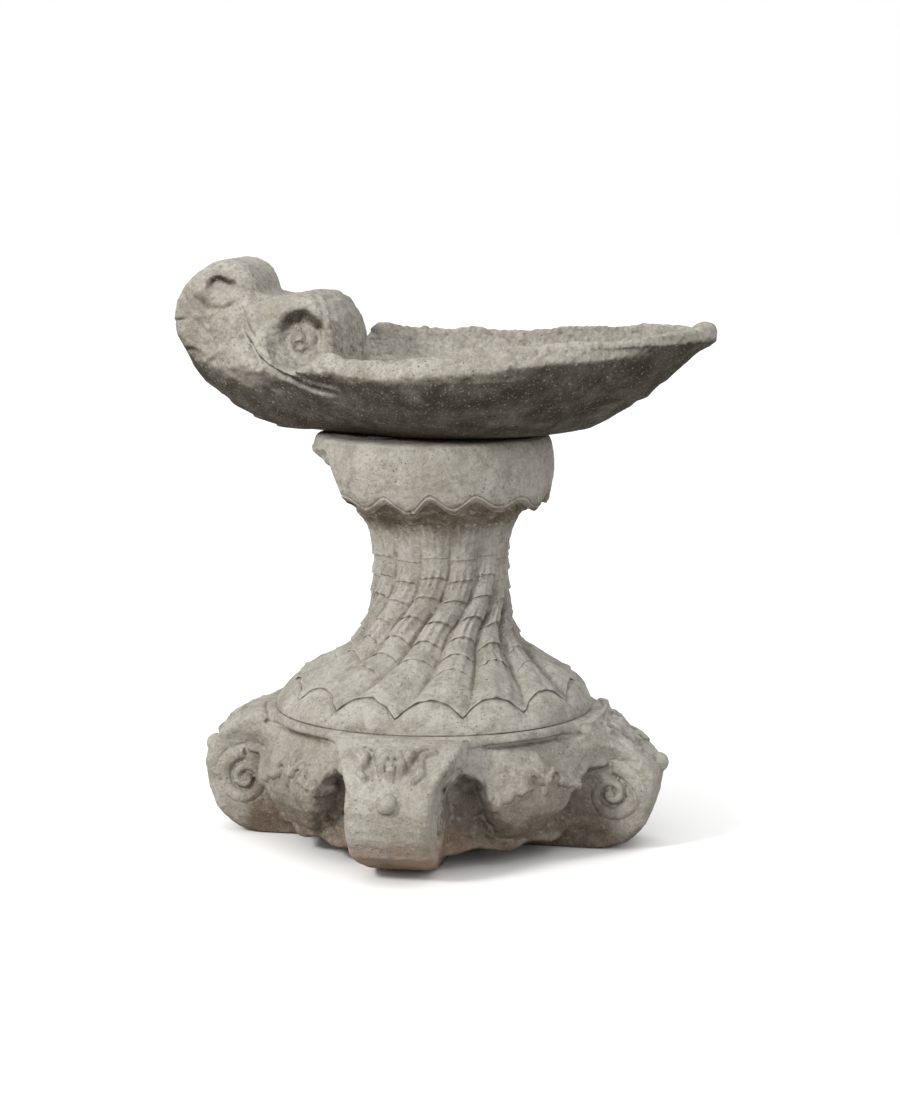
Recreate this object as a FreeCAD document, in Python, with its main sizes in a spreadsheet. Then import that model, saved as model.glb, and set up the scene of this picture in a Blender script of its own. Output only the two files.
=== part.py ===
import FreeCAD, Part
import Sketcher
import math
import os

# Cast-stone bird bath: a shell-shaped bowl that sits on a ribbed stem, which is bedded on a
# base with four scroll feet. Millimetres. The origin is on the stem's axis at ground level,
# +Z is up and +X runs along the bowl from its curled hinge end to its tip.

os.makedirs("parts", exist_ok=True)
doc = FreeCAD.newDocument("bird_bath")
sheet = doc.addObject("Spreadsheet::Sheet", "sizes")

SIZES = [
    # base
    ("base_height", 160.0),
    ("core_radius", 184.0),
    ("core_foot_radius", 190.0),
    ("plinth_radius", 104.0),
    ("plinth_height", 18.0),
    ("recess_radius", 188.0),
    ("recess_top", 48.0),
    ("belly_radius", 206.0),
    ("belly_level", 60.0),
    ("belly_curve", 95.0),
    ("cove_level", 138.0),
    ("ring_radius", 194.0),
    ("ring_height", 13.0),
    ("ring_edge", 3.0),
    ("foot_root", 100.0),
    ("foot_reach", 272.0),
    ("foot_reach_level", 87.0),
    ("foot_top", 156.0),
    ("foot_top_reach", 178.0),
    ("foot_width", 86.0),
    ("toe_reach", 232.0),
    ("toe_curve", 110.0),
    ("shoulder_curve", 100.0),
    ("scroll_radius", 38.0),
    ("scroll_reach", 222.0),
    ("scroll_level", 66.0),
    ("scroll_relief", 5.0),
    ("knob_radius", 12.5),
    ("knob_reach", 271.0),
    ("knob_level", 101.0),
    ("hoop_radius", 150.0),
    ("hoop_level", 50.0),
    ("bar_radius", 4.0),
    ("thin_bar_radius", 3.0),
    # stem
    ("mortar_thickness", 3.0),
    ("mortar_radius", 178.0),
    ("stem_height", 324.0),
    ("stem_foot_radius", 187.0),
    ("stem_foot_height", 25.0),
    ("skirt_radius", 177.0),
    ("shaft_radius", 80.0),
    ("rib_count", 14.0),
    ("rib_twist", 34.0),
    ("capital_radius", 143.0),
    ("capital_top_radius", 136.0),
    ("capital_height", 64.0),
    ("lip_radius", 128.0),
    ("upright_circle", 55.0),
    ("upright_count", 4.0),
    ("upright_length", 279.0),
    ("upright_cover", 20.0),
    ("cage_hoop_inset", 40.0),
    ("lobe_radius", 15.0),
    # bowl
    ("pad_thickness", 3.0),
    ("pad_radius", 16.0),
    ("pad_circle", 92.0),
    ("pad_count", 3.0),
    ("bowl_tip", 334.0),
    ("bowl_hinge", 314.0),
    ("bowl_half_width", 208.0),
    ("rim_rise", 107.0),
    ("rim_slope", 0.05),
    ("wall_thickness", 24.0),
    ("floor_thickness", 36.0),
    ("bowl_bar_long", 230.0),
    ("bowl_bar_cross", 180.0),
    ("bowl_bar_aside", 38.0),
    ("bowl_bar_rise", 15.0),
    ("curl_radius", 37.0),
    ("curl_reach", 237.0),
    ("curl_level", 653.0),
    ("curl_half_length", 64.0),
    ("roll_radius", 47.0),
    ("roll_reach", 134.0),
    ("roll_level", 604.0),
    ("roll_half_length", 80.0),
    ("hinge_margin", 4.0),
    ("hinge_ledge", 5.0),
    ("eye_depth", 5.0),
    # pins
    ("dowel_radius", 8.0),
    ("dowel_clearance", 0.05),
    ("dowel_in_stem", 60.0),
    ("dowel_in_bowl", 22.0),
    ("sleeve_wall", 2.0),
    ("sleeve_end", 2.0),
    ("sleeve_spare_depth", 1.0),
    ("pin_chamfer", 1.5),
    ("base_dowel_length", 100.0),
]
for row, (alias, value) in enumerate(SIZES, start=1):
    sheet.set("A%d" % row, alias)
    sheet.set("B%d" % row, str(value))
    sheet.setAlias("B%d" % row, alias)
doc.recompute()


def size(alias):
    """A driving dimension, read from the sheet."""
    return float(sheet.get(alias))


def cell(alias):
    """The same dimension, for an expression."""
    return "sizes." + alias


V = FreeCAD.Vector
Z_AXIS = V(0, 0, 1)
subparts = []


# ---------------------------------------------------------------- shared helpers

def new_body(name):
    body = doc.addObject("PartDesign::Body", name)
    body.Label = name
    return body


def origin_plane(body, role):
    for feature in body.Origin.OriginFeatures:
        if feature.Role == role:
            return feature
    raise RuntimeError("no plane " + role)


def new_sketch(body, name, role="XY_Plane"):
    sketch = body.newObject("Sketcher::SketchObject", name)
    sketch.AttachmentSupport = [(origin_plane(body, role), "")]
    sketch.MapMode = "FlatFace"
    return sketch


def solid_node(name, shape):
    """A sub-part whose shape comes from Part's own functions."""
    node = doc.addObject("Part::Feature", name)
    node.Label = name
    node.Shape = shape
    node.Placement = FreeCAD.Placement()
    subparts.append(node)
    return node


def smooth_ring(points):
    """A closed smooth curve through the points."""
    curve = Part.BSplineCurve()
    curve.interpolate(Points=points, PeriodicFlag=True)
    return Part.Wire([curve.toShape()])


def cylinder(radius, height, base=V(0, 0, 0), axis=Z_AXIS):
    return Part.makeCylinder(radius, height, base, axis)


def turned(outline):
    """A solid of revolution about Z from (radius, level) points, closed along the axis."""
    points = [V(radius, 0, level) for radius, level in outline]
    points.append(points[0])
    face = Part.Face(Part.makePolygon(points))
    return face.revolve(V(0, 0, 0), Z_AXIS, 360)


# ---------------------------------------------------------------- levels of the assembly

stem_bottom = size("base_height") + size("mortar_thickness")
stem_top = stem_bottom + size("stem_height")
bowl_bottom = stem_top + size("pad_thickness")


# ---------------------------------------------------------------- sketches bound to the sheet

def dim(alias, less=None):
    """A coordinate bound to the sheet: its value now, and the expression that drives it."""
    if less:
        return (size(alias) - size(less), "%s - %s" % (cell(alias), cell(less)))
    return (size(alias), cell(alias))


ZERO = (0.0, None)


def bind(sketch, constraint, expression):
    index = sketch.addConstraint(constraint)
    if expression:
        sketch.setExpression("Constraints[%d]" % index, expression)


def arc_centre(start, end, radius):
    """Centre of the arc that turns anticlockwise from start to end."""
    middle = (start + end) * 0.5
    chord = end - start
    away = math.sqrt(radius ** 2 - (chord.Length / 2) ** 2)
    left = V(-chord.y, chord.x, 0).normalize()
    return middle + left * away


def draw_outline(sketch, corners, arcs):
    """A closed outline, anticlockwise. Edge i runs from corner i; arcs gives some a radius."""
    places = [V(x[0], y[0], 0) for x, y in corners]
    count = len(places)
    for i, start in enumerate(places):
        end = places[(i + 1) % count]
        if i in arcs:
            radius = arcs[i][0]
            centre = arc_centre(start, end, radius)
            first = math.atan2(start.y - centre.y, start.x - centre.x)
            last = math.atan2(end.y - centre.y, end.x - centre.x)
            circle = Part.Circle(centre, Z_AXIS, radius)
            sketch.addGeometry(Part.ArcOfCircle(circle, first, last), False)
        else:
            sketch.addGeometry(Part.LineSegment(start, end), False)
    for i, (x, y) in enumerate(corners):
        sketch.addConstraint(Sketcher.Constraint("Coincident", (i - 1) % count, 2, i, 1))
        if x[0]:
            bind(sketch, Sketcher.Constraint("DistanceX", -1, 1, i, 1, x[0]), x[1])
        else:
            sketch.addConstraint(Sketcher.Constraint("PointOnObject", i, 1, -2))
        if y[0]:
            bind(sketch, Sketcher.Constraint("DistanceY", -1, 1, i, 1, y[0]), y[1])
        else:
            sketch.addConstraint(Sketcher.Constraint("PointOnObject", i, 1, -1))
    for i, radius in arcs.items():
        bind(sketch, Sketcher.Constraint("Radius", i, radius[0]), radius[1])


def draw_circle(sketch, radius, x=ZERO, y=ZERO):
    circle = Part.Circle(V(x[0], y[0], 0), Z_AXIS, radius[0])
    sketch.addGeometry(circle, False)
    if x[0] or y[0]:
        bind(sketch, Sketcher.Constraint("DistanceX", -1, 1, 0, 3, x[0]), x[1])
        bind(sketch, Sketcher.Constraint("DistanceY", -1, 1, 0, 3, y[0]), y[1])
    else:
        sketch.addConstraint(Sketcher.Constraint("Coincident", 0, 3, -1, 1))
    bind(sketch, Sketcher.Constraint("Radius", 0, radius[0]), radius[1])


def draw_dome(sketch, x, y, radius):
    """A half disc standing on a level line, which is also its own axis of revolution."""
    centre = V(x[0], y[0], 0)
    left = centre - V(radius[0], 0, 0)
    right = centre + V(radius[0], 0, 0)
    sketch.addGeometry(Part.LineSegment(left, right), False)
    circle = Part.Circle(centre, Z_AXIS, radius[0])
    sketch.addGeometry(Part.ArcOfCircle(circle, 0, math.pi), False)
    sketch.addGeometry(Part.LineSegment(left, right), True)
    sketch.addConstraint(Sketcher.Constraint("Coincident", 0, 1, 1, 2))
    sketch.addConstraint(Sketcher.Constraint("Coincident", 0, 2, 1, 1))
    sketch.addConstraint(Sketcher.Constraint("Coincident", 0, 1, 2, 1))
    sketch.addConstraint(Sketcher.Constraint("Coincident", 0, 2, 2, 2))
    sketch.addConstraint(Sketcher.Constraint("PointOnObject", 1, 3, 0))
    sketch.addConstraint(Sketcher.Constraint("Horizontal", 0))
    bind(sketch, Sketcher.Constraint("DistanceX", -1, 1, 1, 3, x[0]), x[1])
    bind(sketch, Sketcher.Constraint("DistanceY", -1, 1, 1, 3, y[0]), y[1])
    bind(sketch, Sketcher.Constraint("Radius", 1, radius[0]), radius[1])


def revolve(body, name, sketch):
    feature = body.newObject("PartDesign::Revolution", name)
    feature.Profile = sketch
    feature.ReferenceAxis = (sketch, ["V_Axis"])
    feature.Angle = 360
    doc.recompute()
    return feature


def bore_from(body, name, level, level_rule, depth_rule, radius, upward):
    """A blind round hole from the given level, checked by the volume that it takes away."""
    before = body.Shape.Volume
    sketch = new_sketch(body, name + "_circle")
    sketch.AttachmentOffset = FreeCAD.Placement(V(0, 0, level), FreeCAD.Rotation())
    sketch.setExpression("AttachmentOffset.Base.z", level_rule)
    draw_circle(sketch, radius)
    pocket = body.newObject("PartDesign::Pocket", name)
    pocket.Profile = sketch
    pocket.setExpression("Length", depth_rule)
    pocket.Reversed = upward
    doc.recompute()
    if body.Shape.Volume >= before:
        raise RuntimeError(name + " cut nothing")
    return pocket


# ---------------------------------------------------------------- base

def make_scroll_base():
    """The round moulded body, clear of the ground round a middle plinth, and four scroll feet."""
    body = new_body("scroll_base")
    core = new_sketch(body, "core_profile", "XZ_Plane")
    draw_outline(core, [
        (ZERO, ZERO),
        (dim("plinth_radius"), ZERO),
        (dim("plinth_radius"), dim("plinth_height")),
        (dim("core_foot_radius"), dim("plinth_height")),
        (dim("recess_radius"), dim("recess_top")),
        (dim("belly_radius"), dim("belly_level")),
        (dim("core_radius"), dim("cove_level")),
        (dim("core_radius"), dim("base_height", "ring_height")),
        (dim("ring_radius"), dim("base_height", "ring_height")),
        (dim("ring_radius"), dim("base_height", "ring_edge")),
        (dim("ring_radius", "ring_edge"), dim("base_height")),
        (ZERO, dim("base_height")),
    ], {5: dim("belly_curve")})
    revolve(body, "core", core)

    side = new_sketch(body, "foot_profile", "XZ_Plane")
    draw_outline(side, [
        (dim("foot_root"), ZERO),
        (dim("toe_reach"), ZERO),
        (dim("foot_reach"), dim("foot_reach_level")),
        (dim("foot_top_reach"), dim("foot_top")),
        (dim("foot_root"), dim("foot_top")),
    ], {1: dim("toe_curve"), 2: dim("shoulder_curve")})
    foot = body.newObject("PartDesign::Pad", "foot")
    foot.Profile = side
    foot.SideType = "Symmetric"
    foot.setExpression("Length", cell("foot_width"))
    doc.recompute()

    dome = new_sketch(body, "knob_profile", "XZ_Plane")
    draw_dome(dome, dim("knob_reach"), dim("knob_level"), dim("knob_radius"))
    knob = body.newObject("PartDesign::Revolution", "knob")
    knob.Profile = dome
    knob.ReferenceAxis = (dome, ["Axis0"])
    knob.Angle = 360
    doc.recompute()

    eye = new_sketch(body, "scroll_profile", "XZ_Plane")
    draw_circle(eye, dim("scroll_radius"), dim("scroll_reach"), dim("scroll_level"))
    scroll = body.newObject("PartDesign::Pad", "scroll")
    scroll.Profile = eye
    scroll.SideType = "Symmetric"
    scroll.setExpression("Length", cell("foot_width") + " + 2 * " + cell("scroll_relief"))
    doc.recompute()

    feet = body.newObject("PartDesign::PolarPattern", "feet")
    feet.Originals = [foot, knob, scroll]
    feet.Axis = (origin_plane(body, "Z_Axis"), [""])
    feet.Angle = 360
    feet.Occurrences = 4
    body.Tip = feet
    doc.recompute()

    in_base = "%s / 2 - %s" % (cell("base_dowel_length"), cell("mortar_thickness"))
    bore_from(body, "dowel_hole", size("base_height"), cell("base_height"), in_base,
              dim("dowel_radius"), False)

    channel = body.newObject("PartDesign::SubtractiveTorus", "hoop_channel")
    channel.AttachmentSupport = [(origin_plane(body, "XY_Plane"), "")]
    channel.MapMode = "FlatFace"
    channel.setExpression("Radius1", cell("hoop_radius"))
    channel.setExpression("Radius2", cell("bar_radius"))
    channel.setExpression("AttachmentOffset.Base.z", cell("hoop_level"))
    doc.recompute()
    subparts.append(body)


def make_base_reinforcement():
    hoop = doc.addObject("Part::Torus", "base_reinforcement")
    hoop.Label = "base_reinforcement"
    hoop.setExpression("Radius1", cell("hoop_radius"))
    hoop.setExpression("Radius2", cell("bar_radius"))
    hoop.setExpression("Placement.Base.z", cell("hoop_level"))
    subparts.append(hoop)


def make_base_dowel():
    pin = doc.addObject("Part::Cylinder", "base_dowel")
    pin.Label = "base_dowel"
    pin.setExpression("Radius", cell("dowel_radius"))
    pin.setExpression("Height", cell("base_dowel_length"))
    foot = "%s + %s - %s / 2" % (cell("base_height"), cell("mortar_thickness"),
                                 cell("base_dowel_length"))
    pin.setExpression("Placement.Base.z", foot)
    subparts.append(pin)


def make_mortar_bed():
    """A thin ring of mortar between base and stem, round the dowel."""
    disc = doc.addObject("Part::Cylinder", "mortar_disc")
    disc.setExpression("Radius", cell("mortar_radius"))
    disc.setExpression("Height", cell("mortar_thickness"))
    disc.setExpression("Placement.Base.z", cell("base_height"))
    hole = doc.addObject("Part::Cylinder", "mortar_hole")
    hole.setExpression("Radius", cell("dowel_radius"))
    hole.setExpression("Height", cell("mortar_thickness"))
    hole.setExpression("Placement.Base.z", cell("base_height"))
    bed = doc.addObject("Part::Cut", "stem_mortar_bed")
    bed.Label = "stem_mortar_bed"
    bed.Base = disc
    bed.Tool = hole
    subparts.append(bed)


# ---------------------------------------------------------------- stem

def ribbed_ring(level, radius, depth, twist):
    """A closed outline with one swelling per rib, turned by the given angle in degrees."""
    ribs = int(size("rib_count"))
    steps = 4 * ribs
    points = []
    for i in range(steps):
        angle = 2 * math.pi * i / steps
        reach = radius + depth * math.cos(ribs * angle)
        turn = angle - math.radians(twist)
        points.append(V(reach * math.cos(turn), reach * math.sin(turn), level))
    return smooth_ring(points)


# Share of the shaft's height, share of the way from the shaft's radius out to the skirt's,
# rib depth, and share of the twist, from the skirt up to the capital.
SHAFT_SECTIONS = [
    (0.00, 1.00, 5.0, 1.00),
    (0.10, 0.87, 5.0, 0.86),
    (0.20, 0.48, 4.5, 0.64),
    (0.34, 0.13, 3.5, 0.36),
    (0.50, 0.02, 2.5, 0.16),
    (0.60, 0.00, 2.0, 0.04),
    (0.82, 0.06, 2.0, 0.0),
    (0.96, 0.16, 2.5, 0.0),
    (1.02, 0.33, 3.0, 0.0),
]


def make_stem_shaft():
    """The waisted shaft: fourteen ribs that swirl as they spread into the skirt."""
    shaft = size("shaft_radius")
    spread = size("skirt_radius") - shaft
    low = stem_bottom + 0.8 * size("stem_foot_height")
    rise = stem_top - size("capital_height") - low
    sections = []
    for height, reach, depth, turn in SHAFT_SECTIONS:
        sections.append(ribbed_ring(low + height * rise, shaft + reach * spread, depth,
                                    turn * size("rib_twist")))
    return Part.makeLoft(sections, True, False)


def make_stem_foot():
    """The rounded roll under the skirt."""
    reach = size("stem_foot_radius")
    low = stem_bottom
    high = low + size("stem_foot_height")
    return turned([
        (0, low), (reach - 4, low), (reach, low + 4), (reach, low + 9), (reach - 5, high - 7),
        (reach - 17, high), (0, high),
    ])


def make_capital():
    """The capital: a torus band above a groove and a lip, with a flat top."""
    base = stem_top - size("capital_height")
    full = size("capital_radius")
    lip = size("lip_radius")
    return turned([
        (0, base), (lip - 5, base), (lip, base + 3), (lip + 4, base + 14), (full - 8, base + 24),
        (full - 9, base + 27), (full - 2, base + 34), (full, base + 42), (full - 1, base + 52),
        (size("capital_top_radius") + 1, stem_top - 2), (size("capital_top_radius") - 4, stem_top),
        (0, stem_top),
    ])


def make_lip_lobes():
    """The scalloped edge of the capital: one hanging lobe over each rib."""
    ribs = int(size("rib_count"))
    base = stem_top - size("capital_height")
    lobes = []
    for i in range(ribs):
        angle = 2 * math.pi * (i + 0.5) / ribs
        reach = size("lip_radius") - size("lobe_radius")
        middle = V(reach * math.cos(angle), reach * math.sin(angle), base + 4)
        lobes.append(Part.makeSphere(size("lobe_radius"), middle))
    return lobes


def make_stem_cage():
    """Upright bars welded to two thinner hoops."""
    circle = size("upright_circle")
    bar = size("bar_radius")
    low = stem_bottom + size("upright_cover")
    tall = size("upright_length")
    inset = size("cage_hoop_inset")
    count = int(size("upright_count"))
    bars = []
    for i in range(count):
        angle = 2 * math.pi * (i + 0.5) / count
        foot = V(circle * math.cos(angle), circle * math.sin(angle), low)
        bars.append(cylinder(bar, tall, foot))
    for level in (low + inset, low + tall - inset):
        bars.append(Part.makeTorus(circle, size("thin_bar_radius"), V(0, 0, level)))
    return bars[0].fuse(bars[1:])


def make_ribbed_stem(cage):
    stem = make_stem_shaft().fuse([make_stem_foot(), make_capital()] + make_lip_lobes())
    dowel_hole = cylinder(size("dowel_radius"), size("base_dowel_length") / 2,
                          V(0, 0, stem_bottom))
    deep = size("dowel_in_stem") + size("sleeve_end")
    socket = cylinder(sleeve_radius(), deep, V(0, 0, stem_top - deep))
    return stem.cut([dowel_hole, socket, cage])


# ---------------------------------------------------------------- pins and sleeves

def sleeve_radius():
    return size("dowel_radius") + size("dowel_clearance") + size("sleeve_wall")


def make_stem_dowel_sleeve():
    deep = size("dowel_in_stem") + size("sleeve_end")
    bore = size("dowel_radius") + size("dowel_clearance")
    shell = cylinder(sleeve_radius(), deep, V(0, 0, stem_top - deep))
    hole = cylinder(bore, size("dowel_in_stem"), V(0, 0, stem_top - size("dowel_in_stem")))
    return shell.cut(hole)


def bowl_sleeve_depth():
    """The blind sleeve is a little deeper than the pin that it drops over."""
    return size("dowel_in_bowl") + size("sleeve_spare_depth")


def make_bowl_dowel_sleeve():
    bore = size("dowel_radius") + size("dowel_clearance")
    shell = cylinder(sleeve_radius(), bowl_sleeve_depth() + size("sleeve_end"),
                     V(0, 0, bowl_bottom))
    return shell.cut(cylinder(bore, bowl_sleeve_depth(), V(0, 0, bowl_bottom)))


def make_bowl_dowel():
    """The steel pin, with both ends chamfered so that the bowl finds it."""
    low = stem_top - size("dowel_in_stem")
    tall = size("dowel_in_stem") + size("pad_thickness") + size("dowel_in_bowl")
    pin = cylinder(size("dowel_radius"), tall, V(0, 0, low))
    ends = [edge for edge in pin.Edges if edge.Curve.TypeId == "Part::GeomCircle"]
    return pin.makeChamfer(size("pin_chamfer"), ends)


def make_setting_pads():
    """Three thin pads that level the bowl on the capital."""
    count = int(size("pad_count"))
    pads = []
    for i in range(count):
        angle = 2 * math.pi * i / count
        place = V(size("pad_circle") * math.cos(angle), size("pad_circle") * math.sin(angle),
                  stem_top)
        pads.append(cylinder(size("pad_radius"), size("pad_thickness"), place))
    return Part.makeCompound(pads)


# ---------------------------------------------------------------- bowl

# Half plan of the shell: reach along X as a share of the hinge or tip reach, and half width
# as a share of the largest half width.
SHELL_PLAN = [(-1.0, 0.0), (-0.93, 0.20), (-0.78, 0.34), (-0.53, 0.52), (-0.31, 0.77),
              (0.06, 1.0), (0.35, 0.96), (0.60, 0.79), (0.78, 0.55), (0.93, 0.29), (1.0, 0.0)]
HOLLOW_PLAN = [(-1.0, 0.0), (-0.97, 0.25), (-0.85, 0.50), (-0.50, 0.80), (0.0, 1.0),
               (0.35, 0.97), (0.62, 0.78), (0.82, 0.50), (0.95, 0.22), (1.0, 0.0)]


def plan_ring(plan, level, back, front, half_width, slope=0.0):
    """A closed outline from a half plan, mirrored about the bowl's long axis."""
    half = []
    for along, across in plan:
        x = along * (back if along < 0 else front)
        half.append(V(x, across * half_width, level + slope * x))
    other = [V(point.x, -point.y, point.z) for point in half[-2:0:-1]]
    return smooth_ring(half + other)


def swell(start, share, power):
    """How far an outline has grown at a share of the height: quick at first, then upright."""
    return start + (1.0 - start) * (1.0 - (1.0 - min(share, 1.0)) ** power)


def rim_height(share):
    """A level between the seat and the rim, at the middle of the bowl."""
    return bowl_bottom + share * size("rim_rise")


def make_shell_hull():
    """The outer form, from a flat seat up to a rim that rises gently towards the tip.

    The loft runs past the seat and the rim and is cut by a wedge, so that both are truly flat.
    """
    rings = []
    for share in (-0.07, 0.10, 0.26, 0.46, 0.70, 1.0, 1.15):
        rings.append(plan_ring(
            SHELL_PLAN, rim_height(share),
            size("bowl_hinge") * swell(0.47, share, 2.4),
            size("bowl_tip") * swell(0.40, share, 1.5),
            size("bowl_half_width") * swell(0.50, share, 2.6),
            size("rim_slope") * max(share, 0.0)))
    hull = Part.makeLoft(rings, True, False)
    reach = 400.0
    lean = reach * size("rim_slope")
    side = Part.makePolygon([
        V(-reach, -reach, bowl_bottom), V(reach, -reach, bowl_bottom),
        V(reach, -reach, rim_height(1.0) + lean), V(-reach, -reach, rim_height(1.0) - lean),
        V(-reach, -reach, bowl_bottom)])
    return hull.common(Part.Face(side).extrude(V(0, 2 * reach, 0)))


def make_hollow():
    """The water hollow: a smooth dish inside the shell, open at the top."""
    wall = size("wall_thickness")
    floor = size("floor_thickness")
    deep = size("rim_rise") - floor
    rings = []
    for share in (0.0, 0.16, 0.34, 0.56, 0.80, 1.0, 1.25):
        rings.append(plan_ring(
            HOLLOW_PLAN, bowl_bottom + floor + share * deep,
            0.52 * size("bowl_hinge") * swell(0.45, share, 2.6),
            (size("bowl_tip") - wall) * swell(0.42, share, 1.6),
            (size("bowl_half_width") - wall) * swell(0.46, share, 2.6),
            size("rim_slope") * share))
    return Part.makeLoft(rings, True, False)


def across_roll(radius, reach, level, half_length):
    """A roll that lies across the bowl."""
    return cylinder(radius, 2 * half_length, V(-reach, -half_length, level), V(0, 1, 0))


def make_hinge_block():
    """The raised hinge end that carries both rolls: a side profile across the shell."""
    hinge = size("bowl_hinge")
    curl_back = -size("curl_reach") - 0.7 * size("curl_radius")
    curl_top = size("curl_level") + 0.7 * size("curl_radius")
    roll_top = size("roll_level") + size("roll_radius")
    floor = bowl_bottom + size("floor_thickness")
    low_back = V(-0.80 * hinge, 0, rim_height(0.51))
    back = Part.BSplineCurve()
    back.interpolate([
        low_back,
        V(-0.99 * hinge, 0, rim_height(1.03)),
        V(-hinge, 0, rim_height(1.22)),
        V(-0.97 * hinge, 0, rim_height(1.50)),
        V(curl_back, 0, curl_top),
    ])
    corners = [
        V(curl_back, 0, curl_top),
        V(-size("curl_reach") + 0.5 * size("curl_radius"), 0, size("curl_level")),
        V(-size("curl_reach") + size("curl_radius"), 0, roll_top),
        V(-size("roll_reach"), 0, roll_top),
        V(-size("roll_reach") + 0.5 * size("roll_radius"), 0, floor + size("hinge_margin")),
        low_back,
    ]
    face = Part.Face(Part.Wire([back.toShape()] + Part.makePolygon(corners).Edges))
    half = size("curl_half_length") + size("hinge_margin")
    face.translate(V(0, -half, 0))
    block = face.extrude(V(0, 2 * half, 0))
    ledge = size("hinge_ledge")
    around = plan_ring(SHELL_PLAN, bowl_bottom, hinge - ledge, size("bowl_tip"),
                       size("bowl_half_width") - ledge)
    column = Part.Face(around).extrude(V(0, 0, 2 * (curl_top - bowl_bottom)))
    return block.common(column)


def make_bowl_bars():
    """Two pairs of bars, welded where they cross, inside the bowl's floor."""
    bar = size("thin_bar_radius")
    level = bowl_bottom + size("bowl_bar_rise")
    long = size("bowl_bar_long")
    cross = size("bowl_bar_cross")
    bars = []
    for side in (-size("bowl_bar_aside"), size("bowl_bar_aside")):
        bars.append(cylinder(bar, long, V(-long / 2, side, level), V(1, 0, 0)))
        bars.append(cylinder(bar, cross, V(side, -cross / 2, level), V(0, 1, 0)))
    return bars[0].fuse(bars[1:])


def make_shell_bowl(bars):
    bowl = make_shell_hull().cut(make_hollow())
    curl = across_roll(size("curl_radius"), size("curl_reach"), size("curl_level"),
                       size("curl_half_length"))
    roll = across_roll(size("roll_radius"), size("roll_reach"), size("roll_level"),
                       size("roll_half_length"))
    eyes = []
    deep = size("eye_depth")
    for side in (-1, 1):
        for end in ("curl", "roll"):
            start = V(-size(end + "_reach"), side * (size(end + "_half_length") - deep),
                      size(end + "_level"))
            eyes.append(cylinder(0.5 * size(end + "_radius"), 2 * deep, start, V(0, side, 0)))
    bowl = bowl.fuse([make_hinge_block(), curl, roll])
    socket = cylinder(sleeve_radius(), bowl_sleeve_depth() + size("sleeve_end"),
                      V(0, 0, bowl_bottom))
    return bowl.cut(eyes + [socket, bars])


# ---------------------------------------------------------------- the assembly

make_scroll_base()
make_base_reinforcement()
make_base_dowel()
make_mortar_bed()
stem_cage = make_stem_cage()
solid_node("stem_reinforcement", stem_cage)
solid_node("ribbed_stem", make_ribbed_stem(stem_cage))
solid_node("stem_dowel_sleeve", make_stem_dowel_sleeve())
solid_node("bowl_dowel", make_bowl_dowel())
solid_node("bowl_setting_pads", make_setting_pads())
solid_node("bowl_dowel_sleeve", make_bowl_dowel_sleeve())
bowl_bars = make_bowl_bars()
solid_node("bowl_reinforcement", bowl_bars)
solid_node("shell_bowl", make_shell_bowl(bowl_bars))
doc.recompute()

for item in doc.Objects:
    if "Invalid" in item.State or "Error" in item.State:
        raise RuntimeError("failed: " + item.Name)
for item in subparts:
    if item.Shape.isNull() or not item.Shape.isValid():
        raise RuntimeError("bad shape: " + item.Label)
for item in subparts:
    item.Shape.exportStep("parts/%s.step" % item.Label)
    box = item.Shape.BoundBox
    print("%-20s solids %d volume %9.1f cm3  z %.1f to %.1f" % (
        item.Label, len(item.Shape.Solids), item.Shape.Volume / 1000, box.ZMin, box.ZMax))
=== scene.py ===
import math

import bpy
import numpy as np
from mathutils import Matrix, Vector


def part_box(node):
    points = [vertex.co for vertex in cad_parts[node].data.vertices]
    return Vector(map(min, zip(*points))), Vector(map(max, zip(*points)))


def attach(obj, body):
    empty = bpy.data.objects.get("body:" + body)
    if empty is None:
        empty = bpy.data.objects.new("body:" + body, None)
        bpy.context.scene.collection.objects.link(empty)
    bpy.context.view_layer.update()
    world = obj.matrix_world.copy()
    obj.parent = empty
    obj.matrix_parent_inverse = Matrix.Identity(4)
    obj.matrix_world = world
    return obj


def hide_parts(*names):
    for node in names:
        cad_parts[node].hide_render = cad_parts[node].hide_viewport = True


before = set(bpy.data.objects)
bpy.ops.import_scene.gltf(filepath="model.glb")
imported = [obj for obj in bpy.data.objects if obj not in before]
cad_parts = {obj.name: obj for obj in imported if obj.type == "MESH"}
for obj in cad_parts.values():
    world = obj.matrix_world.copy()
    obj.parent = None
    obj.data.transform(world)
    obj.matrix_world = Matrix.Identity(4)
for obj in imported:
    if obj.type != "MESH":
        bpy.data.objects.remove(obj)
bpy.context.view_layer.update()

import openvdb

# The looks of a cast-stone bird bath: a scallop-shell bowl on a twisted, ribbed stem and a
# base with four scrolled feet. Shapes are worked out in millimetres in the part's own frame:
# the axis of the stem is Z and the shell points along +X. Each foot is described in a frame
# of its own: "out" runs away from the axis and "side" across the foot.
#
# The base and the bowl are signed distance fields on voxels, negative inside the stone:
# smooth_min joins two of them and smooth_max cuts one with the other. The stem is a skin of
# rows, each a ring of points with a radius and a height.

MM = 0.001
VOXEL = 2.3
FACING = math.radians(-79.0)       # the polar angle that faces the camera


def corners_mm(node):
    """Lowest and highest corner of a CAD node, in millimetres."""
    low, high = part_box(node)
    return np.array(low) / MM, np.array(high) / MM


base_low, base_high = corners_mm("scroll_base")
stem_low, stem_high = corners_mm("ribbed_stem")
bowl_low, bowl_high = corners_mm("shell_bowl")
BASE_TOP = base_high[2]
STEM_BOTTOM, STEM_TOP = stem_low[2], stem_high[2]
BOWL_BOTTOM = bowl_low[2]


# ---- small mathematics

def ease(value):
    """0 below 0, 1 above 1, and a smooth step between."""
    value = np.clip(value, 0.0, 1.0)
    return value * value * (3.0 - 2.0 * value)


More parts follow.
